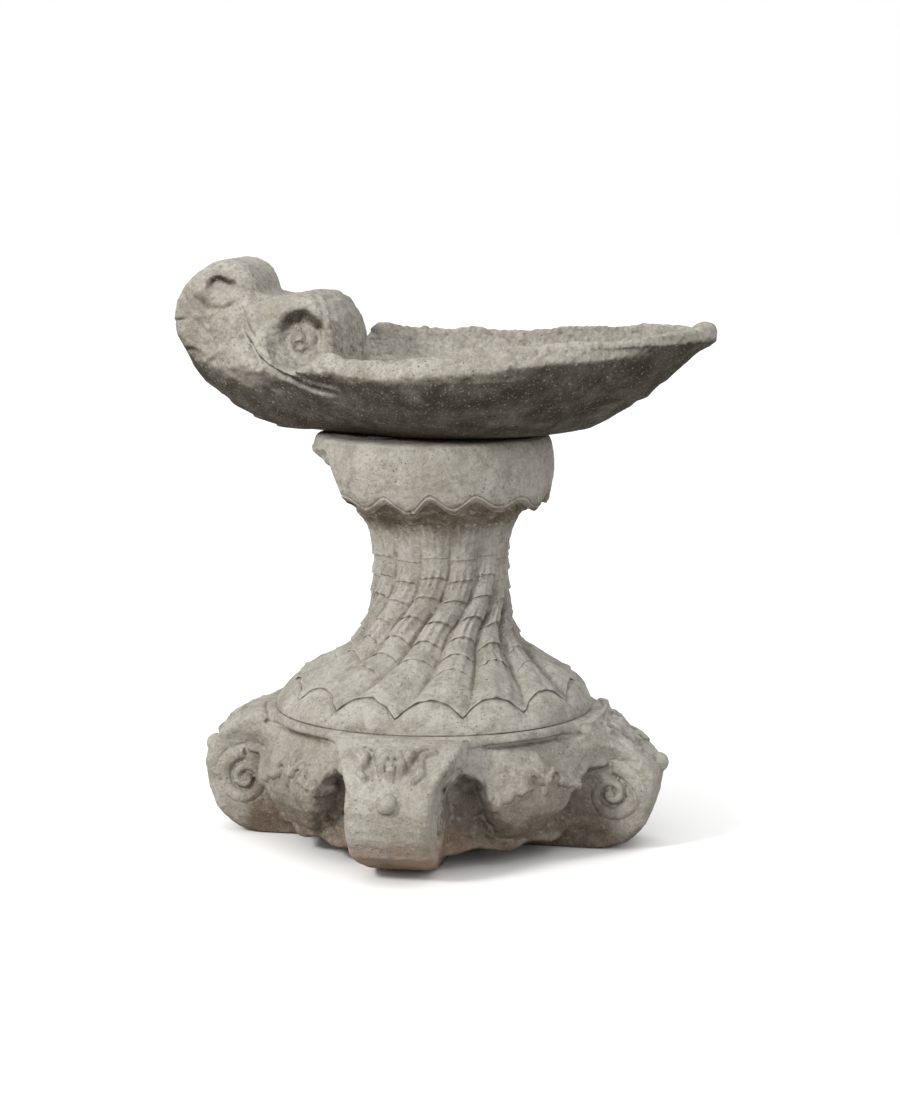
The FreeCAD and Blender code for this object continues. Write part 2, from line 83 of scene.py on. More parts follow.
def bump(value, width):
    """A smooth hill of height 1 and the given half width."""
    return np.exp(-np.square(value / width))


def bar(value, width):
    """Like bump, with the steep sides and round back of a half-round bar."""
    return np.sqrt(np.clip(1.0 - np.square(value / width), 0.0, 1.0))


def along(pairs, key):
    """Straight interpolation in a short list of pairs."""
    table = np.array(pairs, float)
    order = np.argsort(table[:, 0])
    return np.interp(key, table[order, 0], table[order, 1])


def smooth_min(a, b, blend):
    """The union of two distance fields, with a fillet of about the blend radius."""
    h = np.clip(0.5 + 0.5 * (b - a) / blend, 0.0, 1.0)
    return b + (a - b) * h - blend * h * (1.0 - h)


def smooth_max(a, b, blend):
    """What two distance fields share, with a rounded edge of about the blend radius."""
    return -smooth_min(-a, -b, blend)


NOISE_SIZE = 32            # the noise repeats after this many cells


def noise(points, cell, seed):
    """Smooth noise from -1 to 1, with lumps about one cell across."""
    size = (NOISE_SIZE, NOISE_SIZE, NOISE_SIZE)
    table = np.random.default_rng(seed).uniform(-1.0, 1.0, size).astype(np.float32)
    place = points / cell
    corner = np.floor(place).astype(int)
    part = place - corner
    part = part * part * (3.0 - 2.0 * part)
    total = np.zeros(len(points))
    for dx in (0, 1):
        for dy in (0, 1):
            for dz in (0, 1):
                weight = np.abs(1 - dx - part[:, 0])
                weight = weight * np.abs(1 - dy - part[:, 1])
                weight = weight * np.abs(1 - dz - part[:, 2])
                index = (corner + (dx, dy, dz)) % NOISE_SIZE
                total += weight * table[index[:, 0], index[:, 1], index[:, 2]]
    return total


def weathering(points, seed):
    """How far worn cast stone departs from its true surface: swells, grain and small pits."""
    swells = 0.9 * noise(points, 46.0, seed) + 0.55 * noise(points, 19.0, seed + 1)
    grain = 0.32 * noise(points, 7.5, seed + 2) + 0.20 * noise(points, 3.6, seed + 3)
    pits = np.clip(noise(points, 5.2, seed + 4) - 0.62, 0.0, 1.0)
    return swells + grain - 2.6 * pits


def distance_to_line(a, b, line):
    """Distance from points (a, b) to an open line of points."""
    best = np.full(np.shape(a), 1e9)
    for (a0, b0), (a1, b1) in zip(line[:-1], line[1:]):
        run_a, run_b = a1 - a0, b1 - b0
        share = ((a - a0) * run_a + (b - b0) * run_b) / (run_a ** 2 + run_b ** 2)
        share = np.clip(share, 0.0, 1.0)
        best = np.minimum(best, np.hypot(a - a0 - share * run_a, b - b0 - share * run_b))
    return best


# ---- meshes

def add_object(name, data):
    made = bpy.data.objects.new(name, data)
    bpy.context.scene.collection.objects.link(made)
    return made


def mesh_piece(name, points, faces, material, body, nodes):
    """A smooth-shaded mesh from points in millimetres, which stands for CAD nodes."""
    mesh = bpy.data.meshes.new(name)
    mesh.from_pydata(np.asarray(points) * MM, [], faces)
    mesh.update()
    mesh.shade_smooth()
    piece = add_object(name, mesh)
    mesh.materials.append(material)
    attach(piece, body)
    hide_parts(*nodes)
    return piece


class Block:
    """A block of voxels with the coordinates of its points, in millimetres."""

    def __init__(self, low, high, voxel):
        margin = 5.0 * voxel
        self.voxel = voxel
        self.low = np.floor((np.array(low) - margin) / voxel) * voxel
        counts = np.ceil((np.array(high) + margin - self.low) / voxel).astype(int) + 1
        axes = [self.low[i] + voxel * np.arange(counts[i]) for i in range(3)]
        self.x, self.y, self.z = [a.astype(np.float32) for a in np.meshgrid(*axes, indexing="ij")]

    def true_distance(self, field):
        """Scales a field near its surface so that it reads as millimetres."""
        slopes = np.gradient(field, self.voxel)
        steep = np.sqrt(sum(np.square(s) for s in slopes))
        return field / np.maximum(steep, 0.35)

    def carve(self, field, relief, reach=12.0):
        """Raises the surface by relief(x, y, z), worked out only near it."""
        near = np.abs(field) < reach
        field[near] -= relief(self.x[near], self.y[near], self.z[near])
        return field

    def surface(self, field):
        """Points in millimetres and faces of the surface where the field is zero."""
        field = np.clip(field, -3.0 * self.voxel, 3.0 * self.voxel) / self.voxel
        grid = openvdb.FloatGrid(3.0)
        grid.copyFromArray(field.astype(np.float32))
        points, quads = grid.convertToQuads(0.0)
        return points.astype(float) * self.voxel + self.low, quads[:, ::-1]


def outward(points, faces):
    """Unit normals at the points of a quad mesh."""
    corner = points[faces]
    across = np.cross(corner[:, 2] - corner[:, 0], corner[:, 3] - corner[:, 1])
    normals = np.zeros_like(points)
    for i in range(4):
        np.add.at(normals, faces[:, i], across)
    return normals / np.maximum(np.linalg.norm(normals, axis=1), 1e-9)[:, None]


# ---- scrolled base

RING_REACH = 195.0        # the moulded ring that frames the foot of the stem
RING_TALL = 13.0
FOOT_HALF = 50.0
BELLY_REACH = 205.0
EYE_OUT, EYE_UP = 222.0, 70.0     # the middle of each scroll
KNOB = (271.0, 100.0, 12.5)       # out, up, radius
PLINTH_REACH, PLINTH_TALL = 104.0, 20.0     # between the feet only this touches the ground
GROUND_GAP = 0.4
BORE_GAP = 1.2                    # round the dowel
BASE_DETAIL = 0.85                # finer voxels than the bowl's, for the carving
SPRING_LEVEL = 86.0               # where the swag and the arches of the belly's edge meet
SWAG_HALF, SWAG_LOW = 62.0, 26.0
ARCH_OFF, ARCH_SIZE = 86.0, 24.0  # from the panel's middle, and the arch's radius

# Outlines: height and reach from the axis, or how much is worn off at a height.

FOOT_EDGE = [(0, 212), (5, 230), (9, 240), (20, 252), (32, 261), (57, 270), (88, 274),
             (105, 270), (112, 266), (121, 258), (138, 236), (149, 216), (155, 204),
             (158, 197), (161, 185)]
CORE = [(0, 190), (20, 188), (34, 178), (60, 168), (100, 172), (125, 182), (160, 184)]
TOE_WEAR = [(0, 48), (6, 38), (12, 29), (20, 20), (32, 11), (50, 4), (70, 0)]
RIGHT_WEAR = [(92, 0), (110, 6), (124, 14), (136, 18), (147, 14), (154, 7), (160, 3)]
BELLY = [(0, 174), (30, 186), (50, 200), (64, 209), (78, 213), (92, 212), (108, 206), (122, 198),
         (135, 191), (143, 188), (149, 185), (160, 185)]
# The scroll: its reach from the eye after each quarter turn.
SCROLL = [(0, 43), (90, 39), (180, 34), (270, 27), (360, 21), (450, 17.5), (540, 14),
          (630, 10.5), (720, 7), (810, 4), (900, 2)]


def by_front_or_back(x, y):
    """Whether the nearest foot is the front or the back one."""
    return np.abs(y) > np.abs(x)


def foot_frame(x, y):
    """Out and side for the nearest of the four feet."""
    sideways = by_front_or_back(x, y)
    out = np.where(sideways, np.abs(y), np.abs(x))
    side = np.where(sideways, -x * np.sign(y), y * np.sign(x))
    return out, side


def panel_place(out, side):
    """Distance along the belly from the middle of the nearest panel between two feet."""
    angle = np.degrees(np.arctan2(side, out))
    return np.radians(np.where(angle > 0, angle - 45.0, angle + 45.0)) * BELLY_REACH


def garland_edge(place, arched):
    """Height of the belly's lower edge: a swag, with arches beside the front and back feet."""
    off = np.abs(place)
    arch = SPRING_LEVEL + np.sqrt(np.clip(ARCH_SIZE ** 2 - np.square(off - ARCH_OFF), 0.0, None))
    plain = SPRING_LEVEL + 10.0 * ease((off - SWAG_HALF) / 40.0)
    swag = SWAG_LOW + (SPRING_LEVEL - SWAG_LOW) * (np.minimum(off, SWAG_HALF) / SWAG_HALF) ** 3
    return np.where(off > SWAG_HALF, np.where(arched, arch, plain), swag)


def belly_body(block, radius, place, arched):
    """The round body with its belly, lifted clear of the ground outside the plinth."""
    z = block.z
    core = radius - along(CORE, z)
    belly = smooth_max(radius - along(BELLY, z), garland_edge(place, arched) - z, 24.0)
    body = smooth_min(core, block.true_distance(belly), 7.0)
    lifted = PLINTH_TALL - z + 3.0 * np.sin(place / 13.0)
    return smooth_max(body, np.minimum(lifted, radius - PLINTH_REACH), 18.0)


def feet(block, out, side):
    """The four feet, wider at the top. The front one's toe and the right one's top are worn."""
    x, y, z = block.x, block.y, block.z
    half = FOOT_HALF - 11.0 * ease((38.0 - z) / 38.0) + 20.0 * ease((z - 106.0) / 48.0)
    worn = (y < -np.abs(x)) * along(TOE_WEAR, z) + (x > np.abs(y)) * along(RIGHT_WEAR, z)
    foot = smooth_max(out - along(FOOT_EDGE, z) + worn, np.abs(side) - half, 14.0)
    return block.true_distance(foot)


def moulded_ring(block, radius, side):
    """A rounded band under the base's top, which is broken by the middle of three feet."""
    round_off, half = 5.0, 0.5 * RING_TALL
    ring_out = np.abs(radius - RING_REACH + 9.0) - 4.0
    ring_up = np.abs(block.z - BASE_TOP + half) - half + round_off
    ring = np.hypot(np.maximum(ring_out, 0.0), np.maximum(ring_up, 0.0)) - round_off
    stop = np.where(block.x > np.abs(block.y), -30.0, 20.0)
    return smooth_max(ring, stop - np.abs(side), round_off)


def base_field(block):
    """The whole base before anything is carved on it."""
    x, y, z = block.x, block.y, block.z
    radius = np.hypot(x, y)
    out, side = foot_frame(x, y)
    body = belly_body(block, radius, panel_place(out, side), by_front_or_back(x, y))
    fillet = 6.0 + 44.0 * ease((z - 88.0) / 46.0)
    body = smooth_min(body, feet(block, out, side), fillet)
    body = smooth_min(body, moulded_ring(block, radius, side), 1.0)
    knob_out, knob_up, knob_size = KNOB
    knob = np.sqrt(np.square(out - knob_out) + np.square(side) + np.square(z - knob_up))
    body = smooth_min(body, knob - knob_size, 1.5)
    body = smooth_max(body, z - BASE_TOP, 2.0)
    return smooth_max(body, GROUND_GAP - z, 2.5)


def scroll_relief(out, side, z):
    """The spiral on both sides of a foot: a rounded band that winds down to an eye."""
    far = np.hypot(out - EYE_OUT, z - EYE_UP)
    turn = np.degrees(np.arctan2(out - EYE_OUT, z - EYE_UP)) % 360.0
    band = np.zeros(np.shape(far))
    for lap in (0.0, 360.0):
        outer, inner = along(SCROLL, turn + lap), along(SCROLL, turn + lap + 360.0)
        share = np.clip((far - inner) / (outer - inner), 0.0, 1.0)
        band = np.maximum(band, np.sqrt(4.0 * share * (1.0 - share)))
    eye = ease((7.0 - far) / 4.0)
    inside = ease((along(SCROLL, turn) - far) / 3.0)
    depth = inside * (12.0 * np.maximum(band, eye) - 9.0)
    return depth * ease((np.abs(side) - FOOT_HALF + 17.0) / 9.0)


def shell_ornament(out, side, z):
    """A small five-lobed scallop on the top of a foot, framed by leaves that curl outwards."""
    down = 0.80 * (out - 210.0) + 0.62 * (153.0 - z)
    far = np.hypot(0.55 * down, 1.20 * side)
    angle = np.degrees(np.arctan2(1.20 * side, 0.55 * down))
    lobe = np.abs(((angle / 34.0) + 0.5) % 1.0 - 0.5) * 2.0
    rib = np.sqrt(np.clip(1.0 - 0.96 * lobe * lobe, 0.0, 1.0))
    rim = 27.0 + 5.0 * rib
    fan = ease((rim - far) / 5.0) * ease((88.0 - np.abs(angle)) / 10.0)
    shell = fan * (1.5 + 7.5 * rib * ease(far / 16.0))
    curl = [(26, 8), (33, 2), (41, 3), (44, 11), (37, 15), (31, 22), (33, 34), (36, 46), (28, 56)]
    leaf = 7.0 * bar(distance_to_line(np.abs(side), down, curl), 4.4)
    ditch = 2.5 * bump(far - rim - 2.5, 3.0) * ease((down - 4.0) / 6.0)
    return np.maximum(shell, leaf) - ditch


def lily_relief(place, z):
    """A fleur-de-lis on the belly, with leaves that run to the arches beside the feet."""
    place = place - 12.0
    rise = z - 104.0
    bud = ease(1.30 - np.hypot(place / (9.0 - 0.26 * (rise - 14.0)), (rise - 17.0) / 15.0))
    bud_line = bump(np.abs(place) - 2.5, 1.3) * ease((rise - 4.0) / 4.0) * ease((24.0 - rise) / 4.0)
    knot = bump(np.hypot(place / 2.2, rise) - 1.5, 3.0)
    curls = np.zeros(np.shape(place))
    for hand in (-1.0, 1.0):
        petal = [(5, -1), (9, 7), (16, 11), (23, 7), (26, -1), (21, -6)]
        leaf = [(24, -4), (34, -9), (42, -6), (50, -16), (58, -14), (66, -26)]
        curls = np.maximum(curls, bar(distance_to_line(hand * place, rise, petal), 4.2))
        curls = np.maximum(curls, 0.8 * bar(distance_to_line(hand * place, rise, leaf), 6.0))
    tail = bar(distance_to_line(place, rise, [(0, -4), (0, -13)]), 3.6)
    shape = np.maximum.reduce([1.1 * bud - 0.35 * bud_line, knot, curls, 0.7 * tail])
    return 7.0 * shape


def base_relief(x, y, z):
    """Everything carved on the base: panels, scrolls, ornaments, rough stone and seams."""
    out, side = foot_frame(x, y)
    place = panel_place(out, side)
    radius = np.hypot(x, y)
    points = np.stack([x, y, z], axis=1)
    edge = garland_edge(place, by_front_or_back(x, y))
    on_panel = ease((116.0 - np.abs(place)) / 8.0) * ease((radius - 178.0) / 6.0)
    off = np.abs(place)
    bead = 4.5 * bump(z - edge - 9.0, 5.0) * ease((off - 50.0) / 14.0)
    curl = 4.5 * bump(np.hypot(off - 60.0, z - 90.0) - 3.0, 4.5)
    panel = (bead + curl + lily_relief(place, z)) * on_panel
    under = ease((edge + 26.0 - z) / 24.0) * ease((104.0 - off) / 10.0) * ease((z - 26.0) / 18.0)
    rock = 5.5 * noise(points, 24.0, 41) + 3.6 * noise(points, 9.5, 42) - 1.5
    on_foot = ease((52.0 - np.abs(side)) / 6.0) * ease((z - 106.0) / 6.0)
    on_foot = on_foot * ease((out - 202.0) / 5.0) * ease((BASE_TOP - 3.0 - z) / 6.0)
    beside = ease((np.abs(side) - 18.0) / 8.0)
    seam = -3.6 * bump(z - BASE_TOP + RING_TALL + 2.0, 2.8) * beside * ease((208.0 - radius) / 6.0)
    seam = seam - 3.0 * bump(radius - 200.0, 2.8) * beside * ease((z - 141.0) / 6.0)
    carved = panel + under * rock + scroll_relief(out, side, z) + seam
    return carved + shell_ornament(out, side, z) * on_foot


def make_base(material):
    block = Block(base_low, base_high, BASE_DETAIL * VOXEL)
    field = block.carve(base_field(block), base_relief)
    dowel_low, dowel_high = corners_mm("base_dowel")
    bore = np.maximum(np.hypot(block.x, block.y) - dowel_high[0] - BORE_GAP, dowel_low[2] - block.z)
    points, faces = block.surface(np.maximum(field, -bore))
    normals = outward(points, faces)
    worn = 0.65 * weathering(points, 11) + 0.35 * noise(points, 4.6, 13)
    flat = ease((points[:, 2] - 1.0) / 5.0) * ease((BASE_TOP - points[:, 2]) / 3.0)
    points = points + normals * (worn * flat)[:, None]
    points[:, 2] = np.clip(points[:, 2], 0.0, BASE_TOP)
    return mesh_piece("scroll_base_stone", points, faces, material, "stand",
                      ["scroll_base"])


# ---- ribbed stem

RIBS = 14
AROUND = RIBS * 32
LOBE_PHASE = math.radians(10.0)
FOOT_LEVEL = STEM_BOTTOM - 2.6     # the stone reaches down outside its mortar bed
LIP_LEVEL = 411.0                  # the capital's scalloped lower edge
LEDGE_LEVEL = 398.0                # the second, smaller row of lobes behind it
NECK = 388.0                       # where the shaft begins
BELL_REACH = 189.0                 # the bell under the skirt, at the foot
TILE_PITCH = 22.5
TILE_STEP = 3.3                    # how far a tile stands over the next one

# How far the stem leans to the right: height and shift.
LEAN = [(170, 0), (235, 4), (300, 8), (375, 8), (405, 4), (440, 0), (487, -2)]

# Outlines: height and radius. BROKEN is the capital where a lump is missing, RECESS the hollow
# behind its lip, CREST and VALLEY the shaft on its ribs and between them.
CAPITAL = [(487, 131), (486.3, 135), (484, 138), (478, 140.5), (468, 142.5), (456, 143.5),
           (446, 143), (437, 141), (428, 138.5), (418, 135.5), (409, 132.5), (400, 130)]
BROKEN = [(474, 142), (460, 131), (446, 122), (432, 114), (418, 107), (404, 102), (392, 96)]
RECESS = [(426, 119), (416, 117), (405, 108), (396, 100), (388, 93)]
CREST = [(388, 93), (378, 88), (366, 84), (350, 81), (320, 81), (300, 82.5),
         (280, 85), (262, 89.5), (245, 98), (231, 112), (220, 127), (211, 143), (204, 156),
         (198, 168)]
VALLEY = [(388, 92), (377, 85.5), (365, 80), (350, 75.5), (320, 74), (300, 74),
          (280, 75.5), (262, 79), (245, 85.5), (229, 98), (213, 116), (200, 137), (188, 159),
          (178, 178)]
# How far the ribs have turned, in degrees, at a height.
TWIST = [(404, 8.5), (336, 8.5), (315, 5.5), (297, 1), (277, -7), (257, -17), (240, -22),
         (222, -26), (200, -33), (178, -40.5)]


def spaced_line(points, rows):
    """A list of (height, radius) resampled to evenly spaced rows, with soft corners."""
    line = np.array(points, float)
    step = np.hypot(*np.diff(line, axis=0).T)
    travel = np.concatenate([[0.0], np.cumsum(step)])
    even = np.linspace(0.0, travel[-1], rows)
    dense = np.stack([np.interp(even, travel, line[:, i]) for i in (0, 1)])
    window = max(3, rows // 18 * 2 + 1)
    weights = np.hanning(window + 2)[1:-1]
    weights /= weights.sum()
    half = window // 2
    ends = [2 * dense[:, :1] - dense[:, half:0:-1], dense,
            2 * dense[:, -1:] - dense[:, -2:-half - 2:-1]]
    padded = np.concatenate(ends, axis=1)
    soft = [np.convolve(row, weights, mode="valid") for row in padded]
    return soft[0], soft[1], travel[-1]


def lip_level(facing):
    """The scalloped lower edge of the capital: one hanging lobe above each rib."""
    turn = RIBS * (facing - LOBE_PHASE) + 0.7 * np.sin(3 * facing)
    wave = 0.75 * np.cos(turn) + 0.25 * (2.0 * np.abs(np.cos(turn / 2.0)) - 1.0)
    depth = 7.2 + 2.2 * np.sin(4 * facing + 2.0)
    return LIP_LEVEL - depth * wave + 1.6 * np.sin(3 * facing + 1.0) + 1.6 * np.sin(5 * facing)


def capital_rows(facing):
    """The rounded cushion at the top, down to its scalloped lip."""
    lip = lip_level(facing)
    share = np.concatenate([np.linspace(0.0, 0.78, 34), np.linspace(0.785, 1.0, 26)])
    z = STEM_TOP - share[:, None] * (STEM_TOP - lip)[None, :]
    radius = along(CAPITAL, z)
    above = z - lip[None, :]
    radius = radius - 3.2 * np.clip(1.0 - above / 5.5, 0.0, 1.0) ** 1.5
    radius = radius - 1.3 * bump(above - 7.6, 1.1)
    return radius, z


def recess_rows(facing):
    """The rough hollow behind the lip, with a second, smaller row of lobes."""
    lip = lip_level(facing)
    edge = along(CAPITAL, lip) - 3.2
    rows_r, rows_z = [], []
    for share in (0.12, 0.4, 0.75):
        rows_r.append(edge + share * (along(RECESS, lip + 3.0) - edge))
        rows_z.append(lip + 4.0 * math.sin(share * math.pi) * 0.6)
    for share in np.linspace(0.0, 1.0, 22):
        level = (lip + 2.0) + share * (NECK - lip - 2.0)
        lobe = LEDGE_LEVEL - 3.0 * np.cos(RIBS * (facing - LOBE_PHASE) + 0.5)
        ledge = 3.4 * ease((level - lobe) / 1.6 + 0.5) * ease((lobe + 11.0 - level) / 8.0)
        rows_r.append(along(RECESS, level) + ledge * ease((1.0 - share) / 0.12))
        rows_z.append(level)
    return np.array(rows_r), np.array(rows_z)


def shaft_rows(facing):
    """Fourteen ribs that twist as they flare into the skirt, each built like roof tiles."""
    rows = 190
    crest_z, crest_r, length = spaced_line(CREST, rows)
    valley_z, valley_r, _ = spaced_line(VALLEY, rows)
    travel = np.linspace(0.0, length, rows)[:, None]
    turn = np.radians(along(TWIST, valley_z))[:, None]
    place = (facing[None, :] - turn) / (2 * math.pi) * RIBS
    rib = np.floor(place)
    across = place - rib
    off_middle = np.abs(2.0 * across - 1.0)
    height = 1.0 - off_middle ** 2.1
    radius = valley_r[:, None] * (1 - height) + crest_r[:, None] * height
    z = valley_z[:, None] * (1 - height) + crest_z[:, None] * height
    rib_random = np.random.default_rng(5).uniform(0.0, 1.0, 64)
    number = rib.astype(int) % RIBS
    stagger = 6.0 * rib_random[number] + 2.0 * (number % 2)
    pitch = TILE_PITCH + 2.0 * rib_random[number + 20]
    down = (travel + stagger - 3.0 * height) / pitch
    tile = down - np.floor(down)
    tile_number = np.floor(down).astype(int)
    size_change = np.random.default_rng(6).uniform(0.6, 1.3, (RIBS, 32))
    size = size_change[number, np.clip(tile_number, 0, 31)]
    step = TILE_STEP * (tile ** 1.5) * (1.0 - ease((tile - 0.93) / 0.07))
    tiled = ease((travel - 28.0) / 25.0) * ease((length - 42.0 - travel) / 14.0)
    valley_free = ease((1.0 - off_middle) / 0.22)
    radius = radius + (step - 1.2) * size * tiled * valley_free
    strand = np.cos(2 * math.pi * (4.0 * across + 0.35 * rib_random[number + 40]))
    faded = 0.9 + 0.7 * ease((travel - 90.0) / 60.0)
    radius = radius + faded * strand * valley_free * (0.6 + 0.4 * np.sin(travel / 9.0 + number))
    to_edge = length - travel
    radius = radius - 1.6 * bump(to_edge - 12.0, 3.4)
    radius = radius - 3.6 * np.clip(1.0 - to_edge / 7.5, 0.0, 1.0) ** 2
    return radius, z


def bell_rows(edge_r, edge_z):
    """The smooth bell under the skirt: a dome below each arch, down to the mortar bed."""
    rows_r, rows_z = [], []
    for share in (0.35, 0.8):
        rows_r.append(edge_r - 2.2 * share ** 1.5)
        rows_z.append(edge_z - 1.6 * share)
    start_r, start_z = edge_r - 2.2, edge_z - 2.2
    for share in np.linspace(0.0, 1.0, 26)[1:]:
        out = np.sin(share * math.pi / 2) ** 1.15
        down = (1.0 - np.cos(share * math.pi / 2)) ** 0.86
        rows_r.append(start_r + (BELL_REACH - start_r) * out)
        rows_z.append(start_z + (FOOT_LEVEL - start_z) * down)
    return np.array(rows_r), np.array(rows_z)


def lost_edge(points, facing, count):
    """The capital's lower left side, where a lump has broken off."""
    turn = np.degrees(np.tile(facing, count))
    gone = ease(1.9 - np.abs(turn + 92.0) / 22.0) * ease((476.0 - points[:, 2]) / 6.0)
    gone = gone * ease((points[:, 2] - NECK) / 10.0)
    proud = np.hypot(points[:, 0], points[:, 1]) - along(BROKEN, points[:, 2])
    return gone * (6.0 * noise(points, 12.0, 75) - np.clip(proud, 0.0, None))


def stem_rows(facing):
    """Radius and height of every row, from the hole in the top to the one for the base dowel."""
    flat = np.ones(AROUND)
    sleeve_low, sleeve_high = corners_mm("stem_dowel_sleeve")
    _, dowel_high = corners_mm("base_dowel")
    top_hole, bottom_hole = sleeve_high[0] + 0.05, dowel_high[0] + 0.2
    top = [top_hole * 0.5, top_hole, top_hole, top_hole, 14, 40, 70, 100, 122]
    top_levels = [sleeve_low[2] - 0.1] * 2 + [STEM_TOP - 20] + [STEM_TOP] * 6
    foot = [186, 179, 178.5, 120, 80, 40, 16, bottom_hole, bottom_hole, bottom_hole * 0.5]
    foot_levels = [FOOT_LEVEL] * 2 + [STEM_BOTTOM] * 6 + [dowel_high[2] + 0.5] * 2
    rows = [(np.outer(top, flat), np.outer(top_levels, flat))]
    rows += [capital_rows(facing), recess_rows(facing), shaft_rows(facing)]
    rows.append(bell_rows(rows[-1][0][-1], rows[-1][1][-1]))
    rows.append((np.outer(foot, flat), np.outer(foot_levels, flat)))
    return np.concatenate([r for r, _ in rows]), np.concatenate([level for _, level in rows])


def weather_stem(points, facing, count):
    """Moves the stem's points: wear and the lost edge, then the lean, then a slight slump."""
    level = points[:, 2]
    free = ease((STEM_TOP - level) / 4.0) * ease((level - FOOT_LEVEL) / 4.0)
    free = free * ease((np.hypot(points[:, 0], points[:, 1]) - 40.0) / 20.0)
    rough = 1.0 + 1.6 * bump(level - 394.0, 14.0)
    worn = (weathering(points, 71) + 0.5 * noise(points, 4.2, 73)) * free * rough * 0.85
    worn = worn + lost_edge(points, facing, count) * free
    skirt = ease((268.0 - level) / 40.0) * ease((level - 170.0) / 14.0)
    worn = worn + 2.4 * noise(points, 17.0, 79) * skirt
    far = np.maximum(np.hypot(points[:, 0], points[:, 1]), 1.0)
    points[:, 0] += points[:, 0] / far * worn
    points[:, 1] += points[:, 1] / far * worn
    shift = along(LEAN, level) * ease((far - 45.0) / 25.0)
    right = FACING + math.pi / 2
    points[:, 0] += shift * math.cos(right)
    points[:, 1] += shift * math.sin(right)
    slump = 1.6 * noise(points, 27.0, 77) + 0.9 * noise(points, 10.0, 78)
    points[:, 2] += slump * ease((level - FOOT_LEVEL) / 12.0) * ease((STEM_TOP - level) / 12.0)


def make_stem(material):
    angle = np.linspace(0.0, 2 * math.pi, AROUND, endpoint=False)
    facing = (angle - FACING + math.pi) % (2 * math.pi) - math.pi
    radius, z = stem_rows(facing)
    count = len(radius)
    points = np.stack([radius * np.cos(angle), radius * np.sin(angle), z], axis=2)
    points = points.reshape(-1, 3)
    weather_stem(points, facing, count)
    index = np.arange(count * AROUND).reshape(count, AROUND)
    after = np.roll(index, -1, axis=1)
    faces = np.stack([index[:-1], index[1:], after[1:], after[:-1]], axis=2).reshape(-1, 4)
    caps = [index[0].tolist(), index[-1, ::-1].tolist()]
    return mesh_piece("ribbed_stem_stone", points, faces.tolist() + caps, material,
                      "stand", ["ribbed_stem"])


# ---- shell bowl

# Plans of the wall and the dish: half an outline, in shares of the length and the half width.
PLAN = [(-1.0, 0.0), (-0.97, 0.13), (-0.93, 0.21), (-0.78, 0.35), (-0.53, 0.53), (-0.31, 0.77),
        (-0.12, 0.93), (0.06, 1.0), (0.35, 0.965), (0.60, 0.80), (0.78, 0.56), (0.93, 0.29),
        (0.985, 0.12), (1.0, 0.0)]
DISH_PLAN = [(-1.0, 0.0), (-0.97, 0.25), (-0.85, 0.50), (-0.50, 0.80), (0.0, 1.0),
             (0.35, 0.97), (0.62, 0.80), (0.82, 0.54), (0.95, 0.26), (1.0, 0.0)]
# Outlines of the wall: height above the bowl's bottom, and reach.
HINGE_END = [(0, 151), (2, 166), (15, 209), (39, 252), (62, 279), (86, 297), (108, 308),
             (128, 313)]
TIP_END = [(0, 158), (6, 185), (15, 205), (32, 234), (47, 256), (64, 278), (88, 303), (102, 318),
           (110, 331), (124, 334)]
HALF_WIDTH = [(0, 100), (8, 122), (19, 147), (34, 170), (51, 188), (70, 201), (87, 208),
              (123, 209)]
RIM_RISE, RIM_SLOPE = 107.0, 0.05
RIM_BAND, RIM_LEAN = 20.0, 17.0         # the band below the rim: how tall, and how far it leans
FLOOR_RISE = 36.0
DISH_BACK, DISH_TIP, DISH_HALF = 176.0, 298.0, 178.0
RING_SPACING = 12.5                     # of the growth rings in the dish
SLEEVE_GAP = 0.6
CURL_X, CURL_Z, CURL_SIZE, CURL_HALF = -237.0, 652.5, 37.5, 62.0        # half is across the bowl
ROLL_X, ROLL_Z, ROLL_SIZE, ROLL_HALF = -146.0, 604.0, 47.0, 78.0
EYE_CUP, PEARL = 21.0, 15.0             # radii of the hollow in the roll's end and the ball in it
NOSE_X, NOSE_Z, NOSE_SIZE, NOSE_HALF = 319.0, 608.5, 12.5, 24.0         # the tip's blunt end
# The ridge that runs from the curl round the roll: along, to the side and up.
RIDGE = [(-213, 56, 645), (-204, 66, 634), (-197, 74, 616), (-189, 81, 600), (-180, 92, 586),
         (-166, 110, 578), (-140, 127, 572), (-112, 138, 570), (-86, 148, 574)]
# The hinge end's back: where it is at a height, then its half width and its top along the bowl.
SPINE = [(540, -236), (560, -262), (580, -290), (600, -306), (618, -313), (641, -306), (659, -293),
         (676, -273), (684, -255), (689, -234), (691, -216)]
SPINE_FLANK = [(-316, 20), (-304, 38), (-280, 54), (-246, 66), (-196, 80), (-166, 76), (-137, 66)]
SPINE_TOP = [(-324, 690), (-244, 690), (-228, 672), (-208, 653), (-185, 648), (-150, 640)]


def plan_gauge(plan, x, y):
    """1 on the outline, less inside it; x and y are shares of the outline's own size."""
    table = np.array(plan, float)
    angles = np.arctan2(table[:, 1], table[:, 0])
    reach = np.hypot(table[:, 0], table[:, 1])
    order = np.argsort(angles)
    fine = np.linspace(0.0, math.pi, 181)
    outline = np.interp(fine, angles[order], reach[order])
    weights = np.hanning(13)[1:-1]
    padded = np.concatenate([outline[5:0:-1], outline, outline[-2:-7:-1]])
    outline = np.convolve(padded, weights / weights.sum(), mode="valid")
    return np.hypot(x, y) / np.interp(np.arctan2(np.abs(y), x), fine, outline)


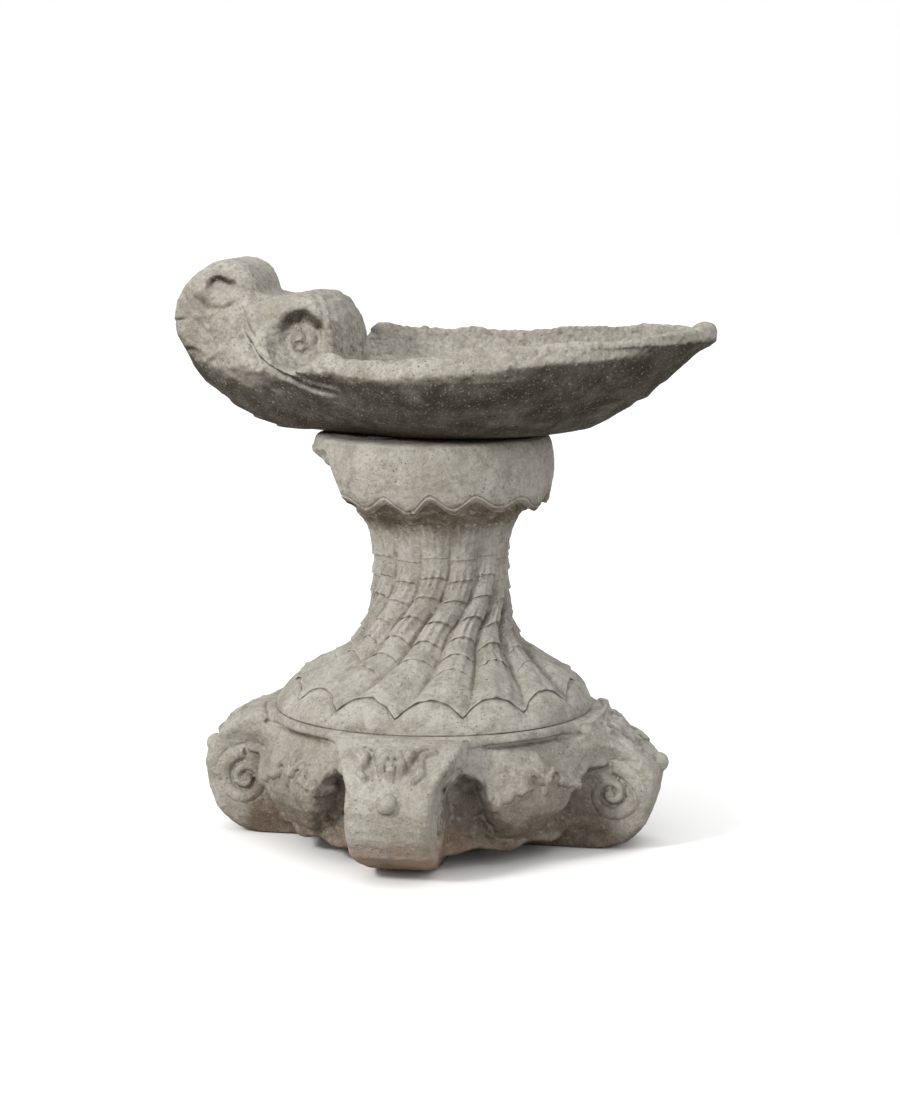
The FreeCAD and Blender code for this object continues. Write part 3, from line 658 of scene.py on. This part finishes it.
def rim_level(x, y):
    """The uneven top of the shell's rim."""
    level = BOWL_BOTTOM + RIM_RISE + RIM_SLOPE * x
    near_side = ease(-y / 60.0)
    level = level + near_side * (-9.0 * bump(x - 5.0, 95.0) + 1.5 * np.sin(x / 21.0))
    far_side = ease(y / 60.0)
    waves = 1.6 * np.sin(x / 19.0 + 0.6) + 0.7 * np.sin(x / 8.6) - 4.0 * bump(x - 90.0, 70.0)
    return level + far_side * (waves + 13.0 * bump(x + 98.0, 58.0))


def hull_distance(block):
    """Signed distance to the outer wall, without its rim."""
    x, y, z = block.x, block.y, block.z
    rise = z - BOWL_BOTTOM - RIM_SLOPE * x * (z - BOWL_BOTTOM) / RIM_RISE
    back, wide = along(HINGE_END, rise), along(HALF_WIDTH, rise)
    front = along(TIP_END, z - BOWL_BOTTOM)
    length = np.where(x < 0, back, front)
    gauge = plan_gauge(PLAN, x / length, y / wide)
    return block.true_distance((gauge - 1.0) * 150.0)


def dish_distance(block, rim):
    """Signed distance to the water hollow, which stays open at the top."""
    x, y, z = block.x, block.y, block.z
    share = np.clip((z - (BOWL_BOTTOM + FLOOR_RISE)) / (rim - BOWL_BOTTOM - FLOOR_RISE), 0.0, 1.4)
    grow = 1.0 - (1.0 - np.minimum(share, 1.0)) ** 2.5
    grow = 0.30 + 0.70 * grow + 0.10 * np.maximum(share - 1.0, 0.0)
    length = np.where(x < 0, DISH_BACK, DISH_TIP) * grow
    gauge = plan_gauge(DISH_PLAN, x / length, y / (DISH_HALF * grow))
    wall = block.true_distance((gauge - 1.0) * 140.0)
    return smooth_max(wall, BOWL_BOTTOM + FLOOR_RISE - z, 10.0)


def curl_distance(x, y, z):
    """The curl on top of the hinge end: a roll across the bowl, with softly rounded ends."""
    soft = 14.0
    side = np.hypot(x - CURL_X, z - CURL_Z) - CURL_SIZE + soft
    end = np.abs(y) - CURL_HALF + soft
    outside = np.hypot(np.maximum(side, 0.0), np.maximum(end, 0.0))
    return outside + np.minimum(np.maximum(side, end), 0.0) - soft


def tube_distance(block, path, radius):
    """Distance to a tube along a path of points, mirrored across the bowl; far off it, just far."""
    path = np.array(path, float)
    low, high = path.min(axis=0) - 40.0, path.max(axis=0) + 40.0
    side = np.abs(block.y)
    near = (block.x > low[0]) & (block.x < high[0]) & (side > low[1]) & (side < high[1])
    near = near & (block.z > low[2]) & (block.z < high[2])
    points = np.stack([block.x[near], side[near], block.z[near]], axis=1)
    best = np.full(len(points), 1e3)
    for start, end in zip(path[:-1], path[1:]):
        run = end - start
        share = np.clip((points - start) @ run / (run @ run), 0.0, 1.0)
        best = np.minimum(best, np.linalg.norm(points - start - share[:, None] * run, axis=1))
    field = np.full(block.x.shape, 1e3, np.float32)
    field[near] = best - radius
    return field


def hinge_roll(x, y, z):
    """The second roll, which stands on the floor of the dish like the end of a bolster."""
    below = np.clip(ROLL_Z - z, 0.0, None)
    side = np.hypot(x - ROLL_X, np.maximum(z - ROLL_Z, 0.0)) - ROLL_SIZE - 0.12 * below
    return smooth_max(side, np.abs(y) - ROLL_HALF - 0.10 * below, 22.0)


def hinge_spine(block, hull):
    """The hinge end's back, which climbs out of the wall and up behind the curl."""
    x, z = block.x, block.z
    flank = along(SPINE_FLANK, x)
    tall = ease((z - 594.0) / 58.0)
    half = flank * (1.0 - tall) + (np.minimum(flank, CURL_HALF) + 2.0) * tall
    spine = smooth_max(along(SPINE, z) - x, x + 150.0, 12.0)
    spine = smooth_max(spine, z - along(SPINE_TOP, x), 16.0)
    spine = smooth_max(spine, np.abs(block.y) - half, 16.0)
    return np.maximum(block.true_distance(spine), hull - 1.0 - 70.0 * ease((z - 584.0) / 30.0))


def shell_wall(block, hull):
    """The dished shell, whose rim stands proud of the wall as a leaning band."""
    x, y, z = block.x, block.y, block.z
    rim = rim_level(x, y)
    lean = RIM_LEAN * (1.0 - 0.65 * ease((x - 190.0) / 120.0))
    lean = lean * (0.35 + 0.65 * ease((x + 250.0) / 110.0))
    band = (hull * RIM_BAND + (z - rim + RIM_BAND) * lean) / np.hypot(RIM_BAND, lean)
    shell = smooth_max(smooth_max(hull, band, 3.0), z - rim, 4.0)
    return smooth_max(shell, -dish_distance(block, rim), 6.0)


def roll_eye(x, y, z):
    """The hollow in each end of the second roll, and the ball that sits in it."""
    across, up, side = x - ROLL_X - 4.0, z - ROLL_Z - 2.0, np.abs(y)
    cup = np.hypot(across, up) - EYE_CUP - 0.5 * np.clip(side - ROLL_HALF + 12.0, 0.0, 30.0)
    cup = smooth_max(cup, ROLL_HALF - 15.0 - side, 14.0)
    pearl = np.square(across + 2.0) + np.square(up + 10.0) + np.square(side - ROLL_HALF + 15.0)
    return cup, np.sqrt(pearl) - PEARL


def bowl_field(block):
    """The whole bowl before anything is carved on it."""
    x, y, z = block.x, block.y, block.z
    hull = hull_distance(block)
    body = smooth_min(shell_wall(block, hull), hinge_spine(block, hull), 12.0)
    body = smooth_min(body, curl_distance(x, y, z), 6.0)
    roll = block.true_distance(hinge_roll(x, y, z))
    body = smooth_min(body, np.maximum(roll, hull + 6.0), 14.0)
    body = smooth_min(body, tube_distance(block, RIDGE, 9.0), 11.0)
    nose = np.hypot(x - NOSE_X, z - NOSE_Z) - NOSE_SIZE
    body = smooth_min(body, smooth_max(nose, np.abs(y) - NOSE_HALF, 16.0), 14.0)
    cup, pearl = roll_eye(x, y, z)
    body = smooth_min(smooth_max(body, -cup, 9.0), pearl, 9.0)
    return smooth_max(body, BOWL_BOTTOM - z, 2.0)


def curl_eye(x, y, z):
    """The worn eye pressed into each end of the curl: a hollow with a low mound, and its lip."""
    across, up = x - CURL_X + 5.0, z - CURL_Z - 1.0
    points = np.stack([x, y, z], axis=1)
    far = np.hypot(across, 1.15 * up) + 2.5 * noise(points, 13.0, 95)
    lip = 19.0 + 3.0 * np.sin(np.arctan2(up, across) + 0.6)
    upper = ease((up + 14.0) / 16.0)
    hollow = -(2.2 + 1.6 * upper) * ease((lip - far) / 9.0)
    hollow = hollow + 2.4 * upper * bump(far - lip - 3.5, 4.5)
    mound = 3.2 * bump(np.hypot(across - 3.0, up + 4.0), 9.0)
    swirl = [(17, 10), (22, -2), (16, -15), (2, -22), (-16, -20), (-30, -10)]
    hollow = hollow - 1.5 * bump(distance_to_line(across, up, swirl), 4.2)
    return (hollow + mound) * ease((np.abs(y) - CURL_HALF + 16.0) / 9.0)


def bowl_relief(x, y, z):
    """Everything carved on the bowl: eyes, grooves beside the hinge, and growth rings."""
    points = np.stack([x, y, z], axis=1)
    side = np.abs(y)
    groove = [(-222, 636), (-214, 608), (-190, 580), (-158, 562), (-120, 549), (-84, 543)]
    apart = distance_to_line(x, z, groove)
    second = distance_to_line(x - 7.0, z - 8.5, groove)
    outer = ease((side - 62.0) / 14.0) * ease((-70.0 - x) / 30.0) * ease((x + 238.0) / 14.0)
    carved = curl_eye(x, y, z) - outer * (2.8 * bump(apart, 3.2) + 2.2 * bump(second, 3.0))
    split = z - 615.0 - 0.12 * (x + 313.0) + 2.6 * noise(points, 14.0, 93)
    carved = carved - 2.2 * bump(split, 2.6) * ease((-282.0 - x) / 12.0)
    dimple = 5.0 * bump(np.hypot(x - ROLL_X - 2.0, z - ROLL_Z + 9.0), 4.0)
    on_end = ease((side - ROLL_HALF + 14.0) / 8.0) * ease((ROLL_HALF + 8.0 - side) / 4.0)
    carved = carved - dimple * on_end
    wobble = 4.0 * noise(points, 60.0, 91) + 2.0 * noise(points, 24.0, 92)
    length = np.where(x < 0, DISH_BACK, DISH_TIP)
    gauge = plan_gauge(DISH_PLAN, x / length, y / DISH_HALF)
    inside = ease((1.0 - gauge) / 0.03) * ease((z - BOWL_BOTTOM - FLOOR_RISE + 6.0) / 4.0)
    rings = np.sin((gauge * 150.0 + wobble) * 2 * math.pi / RING_SPACING)
    return carved + inside * 1.3 * rings * ease((gauge - 0.45) / 0.2) * ease((0.95 - gauge) / 0.06)


def make_bowl(material):
    block = Block(bowl_low, bowl_high, VOXEL)
    field = block.carve(bowl_field(block), bowl_relief)
    _, sleeve_high = corners_mm("bowl_dowel_sleeve")
    bore_side = np.hypot(block.x, block.y) - sleeve_high[0] - SLEEVE_GAP
    bore = np.maximum(bore_side, block.z - sleeve_high[2] - SLEEVE_GAP)
    points, faces = block.surface(np.maximum(field, -bore))
    normals = outward(points, faces)
    free = ease((points[:, 2] - BOWL_BOTTOM - 1.0) / 5.0)
    free = free * ease((np.hypot(points[:, 0], points[:, 1]) - 16.0) / 10.0)
    wall = ease((0.25 - normals[:, 2]) / 0.5)
    band = bump(points[:, 2] - rim_level(points[:, 0], points[:, 1]) + 10.0, 13.0)
    hinge = ease((-100.0 - points[:, 0]) / 60.0) * ease((points[:, 2] - 600.0) / 40.0)
    rough = (0.65 + 0.6 * wall + 0.3 * band) * (1.0 - 0.45 * hinge)
    pebbles = 0.9 * noise(points, 6.5, 31) + 0.7 * noise(points, 4.4, 32)
    pebbly = (0.2 + 0.9 * wall + 0.5 * band) * pebbles * (1.0 - 0.6 * hinge)
    worn = weathering(points, 23) * rough + pebbly
    points = points + normals * (worn * free)[:, None]
    points[:, 2] = np.maximum(points[:, 2], BOWL_BOTTOM)
    return mesh_piece("shell_bowl_stone", points, faces, material, "bowl",
                      ["shell_bowl"])


# ---- materials

class Nodes:
    """A small helper that wires the shader nodes of a material or a world."""

    def __init__(self, owner, shader="Principled BSDF"):
        owner.use_nodes = True
        self.owner = owner
        self.tree = owner.node_tree
        self.shader = self.tree.nodes[shader]
        self.coordinates = self.new("ShaderNodeTexCoord").outputs
        self.place = self.coordinates["Object"]

    def new(self, kind, **settings):
        node = self.tree.nodes.new(kind)
        for key, value in settings.items():
            setattr(node, key, value)
        return node

    def join(self, source, target):
        self.tree.links.new(source, target)

    def feed(self, value, socket):
        """Sets a socket to a number or a colour, or wires it."""
        if isinstance(value, (int, float)):
            socket.default_value = value
        elif isinstance(value, tuple):
            socket.default_value = (*value, 1.0)
        else:
            self.join(value, socket)

    def texture(self, kind, output, **numbers):
        node = self.new(kind)
        self.join(self.place, node.inputs["Vector"])
        for name, number in numbers.items():
            node.inputs[name].default_value = number
        return node.outputs[output]

    def noise(self, scale, detail=4.0, rough=0.55):
        return self.texture("ShaderNodeTexNoise", "Fac", Scale=scale, Detail=detail, Roughness=rough)

    def cells(self, scale):
        return self.texture("ShaderNodeTexVoronoi", "Distance", Scale=scale)

    def ramp(self, value, low, high, start=0.0, end=1.0):
        """Maps low..high to start..end, clamped."""
        node = self.new("ShaderNodeMapRange")
        self.join(value, node.inputs["Value"])
        names = ("From Min", "From Max", "To Min", "To Max")
        for name, number in zip(names, (low, high, start, end)):
            node.inputs[name].default_value = number
        return node.outputs["Result"]

    def math(self, operation, a, b):
        node = self.new("ShaderNodeMath", operation=operation)
        self.feed(a, node.inputs[0])
        self.feed(b, node.inputs[1])
        return node.outputs["Value"]

    def times(self, a, b):
        return self.math("MULTIPLY", a, b)

    def mix(self, share, first, second):
        """First colour where share is 0, second where it is 1."""
        node = self.new("ShaderNodeMix", data_type="RGBA")
        self.feed(share, node.inputs["Factor"])
        self.feed(first, node.inputs[6])
        self.feed(second, node.inputs[7])
        return node.outputs[2]

    def tint(self, colour, pattern, low, high, share, tone):
        """Mixes up to a share of a tone into a colour as the pattern goes from low to high."""
        return self.mix(self.ramp(pattern, low, high, 0.0, share), colour, tone)

    def bumps(self, height, strength, distance):
        node = self.new("ShaderNodeBump")
        node.inputs["Strength"].default_value = strength
        node.inputs["Distance"].default_value = distance
        self.join(height, node.inputs["Height"])
        self.join(node.outputs["Normal"], self.shader.inputs["Normal"])

    def part_of(self, source, name):
        node = self.new("ShaderNodeSeparateXYZ")
        self.join(source, node.inputs["Vector"])
        return node.outputs[name]


STONE_PALE = (0.62, 0.60, 0.55)
STONE_LIGHT = (0.515, 0.490, 0.440)
STONE_MID = (0.32, 0.295, 0.25)
STONE_GREY = (0.215, 0.195, 0.16)
STONE_DARK = (0.128, 0.095, 0.060)
# The near-black of painted shade, on surfaces that face down and in small pits.
STONE_SHADE = (0.033, 0.025, 0.015)
STONE_RUST = (0.52, 0.35, 0.26)


def painted_shade_band(n, colour, levels, reach):
    """A broken band of painted shade round the piece between two heights, up to a reach from the
    axis.
    """
    height = n.part_of(n.place, "Z")
    low, high = levels
    soft = 0.3 * (high - low)
    band = n.times(n.ramp(height, low - soft, low + soft), n.ramp(height, high + soft, high - soft))
    band = n.times(band, n.ramp(n.noise(60.0, 5.0, 0.7), 0.34, 0.58, 0.35, 0.9))
    if reach:
        across = n.math("POWER", n.part_of(n.place, "X"), 2.0)
        deep = n.math("POWER", n.part_of(n.place, "Y"), 2.0)
        far = n.math("SQRT", n.math("ADD", across, deep), 0.0)
        band = n.times(band, n.ramp(far, reach, reach - 0.02))
    return n.mix(band, colour, STONE_DARK)


def rust_stain(n, colour):
    """A rusty stain low down, strongest on the front foot."""
    forward = n.ramp(n.part_of(n.place, "Y"), -0.150, -0.185, 0.15, 1.0)
    low_down = n.ramp(n.part_of(n.place, "Z"), 0.064, 0.012)
    stain = n.times(n.times(low_down, n.ramp(n.noise(24.0), 0.28, 0.54)), forward)
    return n.mix(n.times(stain, 0.8), colour, STONE_RUST)


def cast_stone(name, down_shade, shade, grit=0.0, foot_stain=False, shade_levels=None,
               shade_reach=None):
    """Weathered cast stone: mottled and pitted, with painted shade in its hollows, creases and pits
    and on the surfaces that face down.

    down_shade is how dark the painted shade on the surfaces that face down is, shade the upward
    share of the normal where that begins, grit how much darker stones show, shade_levels the
    heights in metres of a band of painted shade round the piece, and shade_reach how far from the
    axis that band goes.
    """
    n = Nodes(bpy.data.materials.new(name))
    fine = n.noise(165.0, 6.0, 0.8)
    colour = n.tint(STONE_LIGHT, n.noise(11.0, 4.0, 0.6), 0.44, 0.62, 0.62, STONE_MID)
    colour = n.tint(colour, n.noise(19.0, 4.0, 0.65), 0.54, 0.66, 0.35, STONE_PALE)
    colour = n.tint(colour, n.noise(46.0, 5.0, 0.7), 0.48, 0.62, 0.75, STONE_MID)
    colour = n.tint(colour, fine, 0.50, 0.64, 0.7, STONE_MID)
    if grit:
        colour = n.tint(colour, n.noise(230.0, 2.0, 0.5), 0.44, 0.58, grit, STONE_GREY)
    colour = n.tint(colour, fine, 0.46, 0.34, 0.35, STONE_PALE)
    geometry = n.new("ShaderNodeNewGeometry")
    # Painted shade: surfaces that face down darken towards the near-black shade colour, broken up by
    # noise.
    under = n.ramp(n.part_of(geometry.outputs["Normal"], "Z"), shade, shade - 0.5)
    under = n.times(under, n.ramp(n.noise(30.0, 5.0, 0.7), 0.30, 0.60, 0.72, 1.0))
    colour = n.mix(n.times(under, down_shade), colour, STONE_SHADE)
    # Painted shade in hollows: where ambient occlusion finds the surface closed in, the colour
    # darkens.
    hollow = n.new("ShaderNodeAmbientOcclusion", samples=6)
    hollow.inputs["Distance"].default_value = 0.03
    hollow_shade = n.ramp(hollow.outputs["AO"], 0.72, 0.30)
    hollow_shade = n.times(hollow_shade, n.ramp(n.noise(55.0, 4.0, 0.7), 0.3, 0.62, 0.35, 1.0))
    colour = n.mix(n.times(hollow_shade, 0.86), colour, STONE_DARK)
    # A band of painted shade round the piece, where heights for it are given.
    if shade_levels:
        colour = painted_shade_band(n, colour, shade_levels, shade_reach)
    pointed = geometry.outputs["Pointiness"]
    # Painted shade in creases, where the surface is concave.
    crease_shade = n.ramp(pointed, 0.482, 0.43, 0.0, 0.55)
    crease_shade = n.times(crease_shade, n.ramp(fine, 0.35, 0.55, 0.45, 1.0))
    colour = n.mix(crease_shade, colour, STONE_DARK)
    colour = n.tint(colour, pointed, 0.512, 0.55, 0.55, STONE_PALE)
    speck = n.noise(340.0, 3.0, 0.7)
    colour = n.tint(colour, speck, 0.60, 0.68, 0.5, STONE_PALE)
    colour = n.tint(colour, speck, 0.40, 0.32, 0.4, STONE_DARK)
    # Painted shade in small pits, which the bump below also sinks.
    pits = n.times(n.ramp(n.cells(190.0), 0.17, 0.05), n.ramp(n.noise(38.0), 0.50, 0.60))
    colour = n.mix(n.times(pits, 0.85), colour, STONE_SHADE)
    if foot_stain:
        colour = rust_stain(n, colour)
    n.join(colour, n.shader.inputs["Base Color"])
    n.join(n.ramp(fine, 0.3, 0.7, 0.84, 0.98), n.shader.inputs["Roughness"])
    n.shader.inputs["Specular IOR Level"].default_value = 0.2
    grain = n.math("ADD", n.noise(260.0, 5.0, 0.75), n.times(n.noise(85.0, 4.0, 0.65), 1.3))
    n.bumps(n.math("SUBTRACT", grain, n.times(pits, 1.2)), 1.0, 0.0042)
    return n.owner


def plain_finish(name, light, dark, scale, rough, metal=0.0, relief=0.3):
    """A surface with two mottled colours, uneven gloss and fine relief."""
    n = Nodes(bpy.data.materials.new(name))
    pattern = n.noise(scale, 5.0, 0.62)
    n.join(n.mix(n.ramp(pattern, 0.35, 0.68), light, dark), n.shader.inputs["Base Color"])
    n.join(n.ramp(pattern, 0.3, 0.7, rough - 0.1, rough + 0.1), n.shader.inputs["Roughness"])
    n.shader.inputs["Metallic"].default_value = metal
    n.bumps(n.noise(scale * 4.0, 4.0, 0.65), relief, 0.0004)
    return n.owner


def dress_cad_nodes():
    """Finishes for the pieces that are shown as the CAD model has them."""
    mortar = plain_finish("mortar", (0.34, 0.32, 0.28), (0.17, 0.155, 0.13), 120.0, 0.92,
                          relief=0.8)
    rubber = plain_finish("pad_rubber", (0.035, 0.035, 0.037), (0.018, 0.018, 0.019), 180.0, 0.7)
    steel = plain_finish("dowel_steel", (0.52, 0.53, 0.54), (0.36, 0.37, 0.38), 70.0, 0.34, 1.0)
    brass = plain_finish("sleeve_brass", (0.60, 0.43, 0.19), (0.36, 0.24, 0.10), 60.0, 0.38, 1.0)
    rusty = plain_finish("bar_steel", (0.28, 0.16, 0.10), (0.16, 0.13, 0.12), 90.0, 0.72, 0.6, 0.7)
    finishes = {"stem_mortar_bed": mortar, "bowl_setting_pads": rubber,
                "base_dowel": steel, "bowl_dowel": steel,
                "stem_dowel_sleeve": brass, "bowl_dowel_sleeve": brass,
                "base_reinforcement": rusty, "stem_reinforcement": rusty,
                "bowl_reinforcement": rusty}
    for node, finish in finishes.items():
        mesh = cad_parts[node].data
        mesh.materials.clear()
        mesh.materials.append(finish)


# ---- studio

CAMERA_TURN = math.radians(11.0)        # to the right of the front, which faces -Y
CAMERA_PITCH = math.radians(8.56)
CAMERA_FAR = 3.3           # metres from the stem's axis
CAMERA_ASIDE = 0.0188      # to the right of the line to the axis
CAMERA_HEIGHT = 0.838
FOCAL_PIXELS = 2800.0      # of an image 1108 pixels tall
IMAGE_HEIGHT = 1108.0
SENSOR = 36.0


def make_camera():
    data = bpy.data.cameras.new("camera")
    data.sensor_fit = "VERTICAL"
    data.sensor_height = SENSOR
    data.lens = FOCAL_PIXELS / IMAGE_HEIGHT * SENSOR
    data.clip_start, data.clip_end = 0.1, 60.0
    camera = add_object("camera", data)
    c, s = math.cos(CAMERA_TURN), math.sin(CAMERA_TURN)
    camera.location = (CAMERA_ASIDE * c + CAMERA_FAR * s, CAMERA_ASIDE * s - CAMERA_FAR * c,
                       CAMERA_HEIGHT)
    camera.rotation_euler = (math.pi / 2 - CAMERA_PITCH, 0.0, CAMERA_TURN)
    bpy.context.scene.camera = camera


LIGHT_TARGET = np.array([0.0, 0.0, 0.38])
FLOOR_GLOW = (0.50, 0.485, 0.46)        # how much light the floor throws back at the stone


def make_light(name, position, size, power, colour):
    """A round lamp that points at the middle of the bird bath."""
    data = bpy.data.lights.new(name, "AREA")
    data.shape = "DISK"
    data.size = size
    data.energy = power
    data.color = colour
    light = add_object(name, data)
    light.location = position
    away = np.array(position) - LIGHT_TARGET
    tilt = math.atan2(math.hypot(away[0], away[1]), away[2])
    light.rotation_euler = (tilt, 0.0, math.atan2(away[1], away[0]) + math.pi / 2)


def make_world():
    """A sky that is plain white to the camera and lights the stone mostly from above."""
    n = Nodes(bpy.data.worlds.new("studio"), "Background")
    bpy.context.scene.world = n.owner
    glow = n.ramp(n.part_of(n.coordinates["Generated"], "Z"), 0.0, 0.9, 0.45, 1.50)
    pick = n.new("ShaderNodeMix")
    n.join(n.new("ShaderNodeLightPath").outputs["Is Camera Ray"], pick.inputs["Factor"])
    n.join(glow, pick.inputs[2])
    pick.inputs[3].default_value = 1.0
    n.join(pick.outputs[0], n.shader.inputs["Strength"])
    n.shader.inputs["Color"].default_value = (1.0, 1.0, 1.0, 1.0)


def make_floor():
    bpy.ops.mesh.primitive_plane_add(size=40.0)
    floor = bpy.context.object
    floor.name = "studio_floor"
    n = Nodes(bpy.data.materials.new("floor_paper"))
    pale = n.mix(n.ramp(n.noise(3.0), 0.3, 0.7), (0.95, 0.95, 0.948), (0.93, 0.93, 0.928))
    seen = n.new("ShaderNodeLightPath").outputs["Is Camera Ray"]
    n.join(n.mix(seen, FLOOR_GLOW, pale), n.shader.inputs["Base Color"])
    n.shader.inputs["Roughness"].default_value = 0.95
    floor.data.materials.append(n.owner)


def make_studio():
    make_world()
    make_light("key", (-2.1, -2.9, 2.45), size=0.9, power=116.0, colour=(1.0, 0.985, 0.96))
    make_light("fill", (2.6, -2.4, 1.2), size=2.2, power=9.0, colour=(0.97, 0.985, 1.0))
    make_floor()
    bpy.context.scene.view_settings.view_transform = "Standard"


make_camera()
make_studio()
dress_cad_nodes()
# The height bands given to the base and the stem are painted shade: in the recess under the base's
# belly and under the stem's capital lip.
# The second number given to each stone is how dark its painted shade on surfaces that face down is.
make_base(cast_stone("cast_stone", 0.55, -0.38, foot_stain=True, shade_levels=(-0.10, 0.085),
                     shade_reach=0.238))
make_stem(cast_stone("cast_stone_stem", 0.5, -0.3, shade_levels=(0.380, 0.414)))
make_bowl(cast_stone("cast_stone_bowl", 0.95, 0.02, grit=0.22))
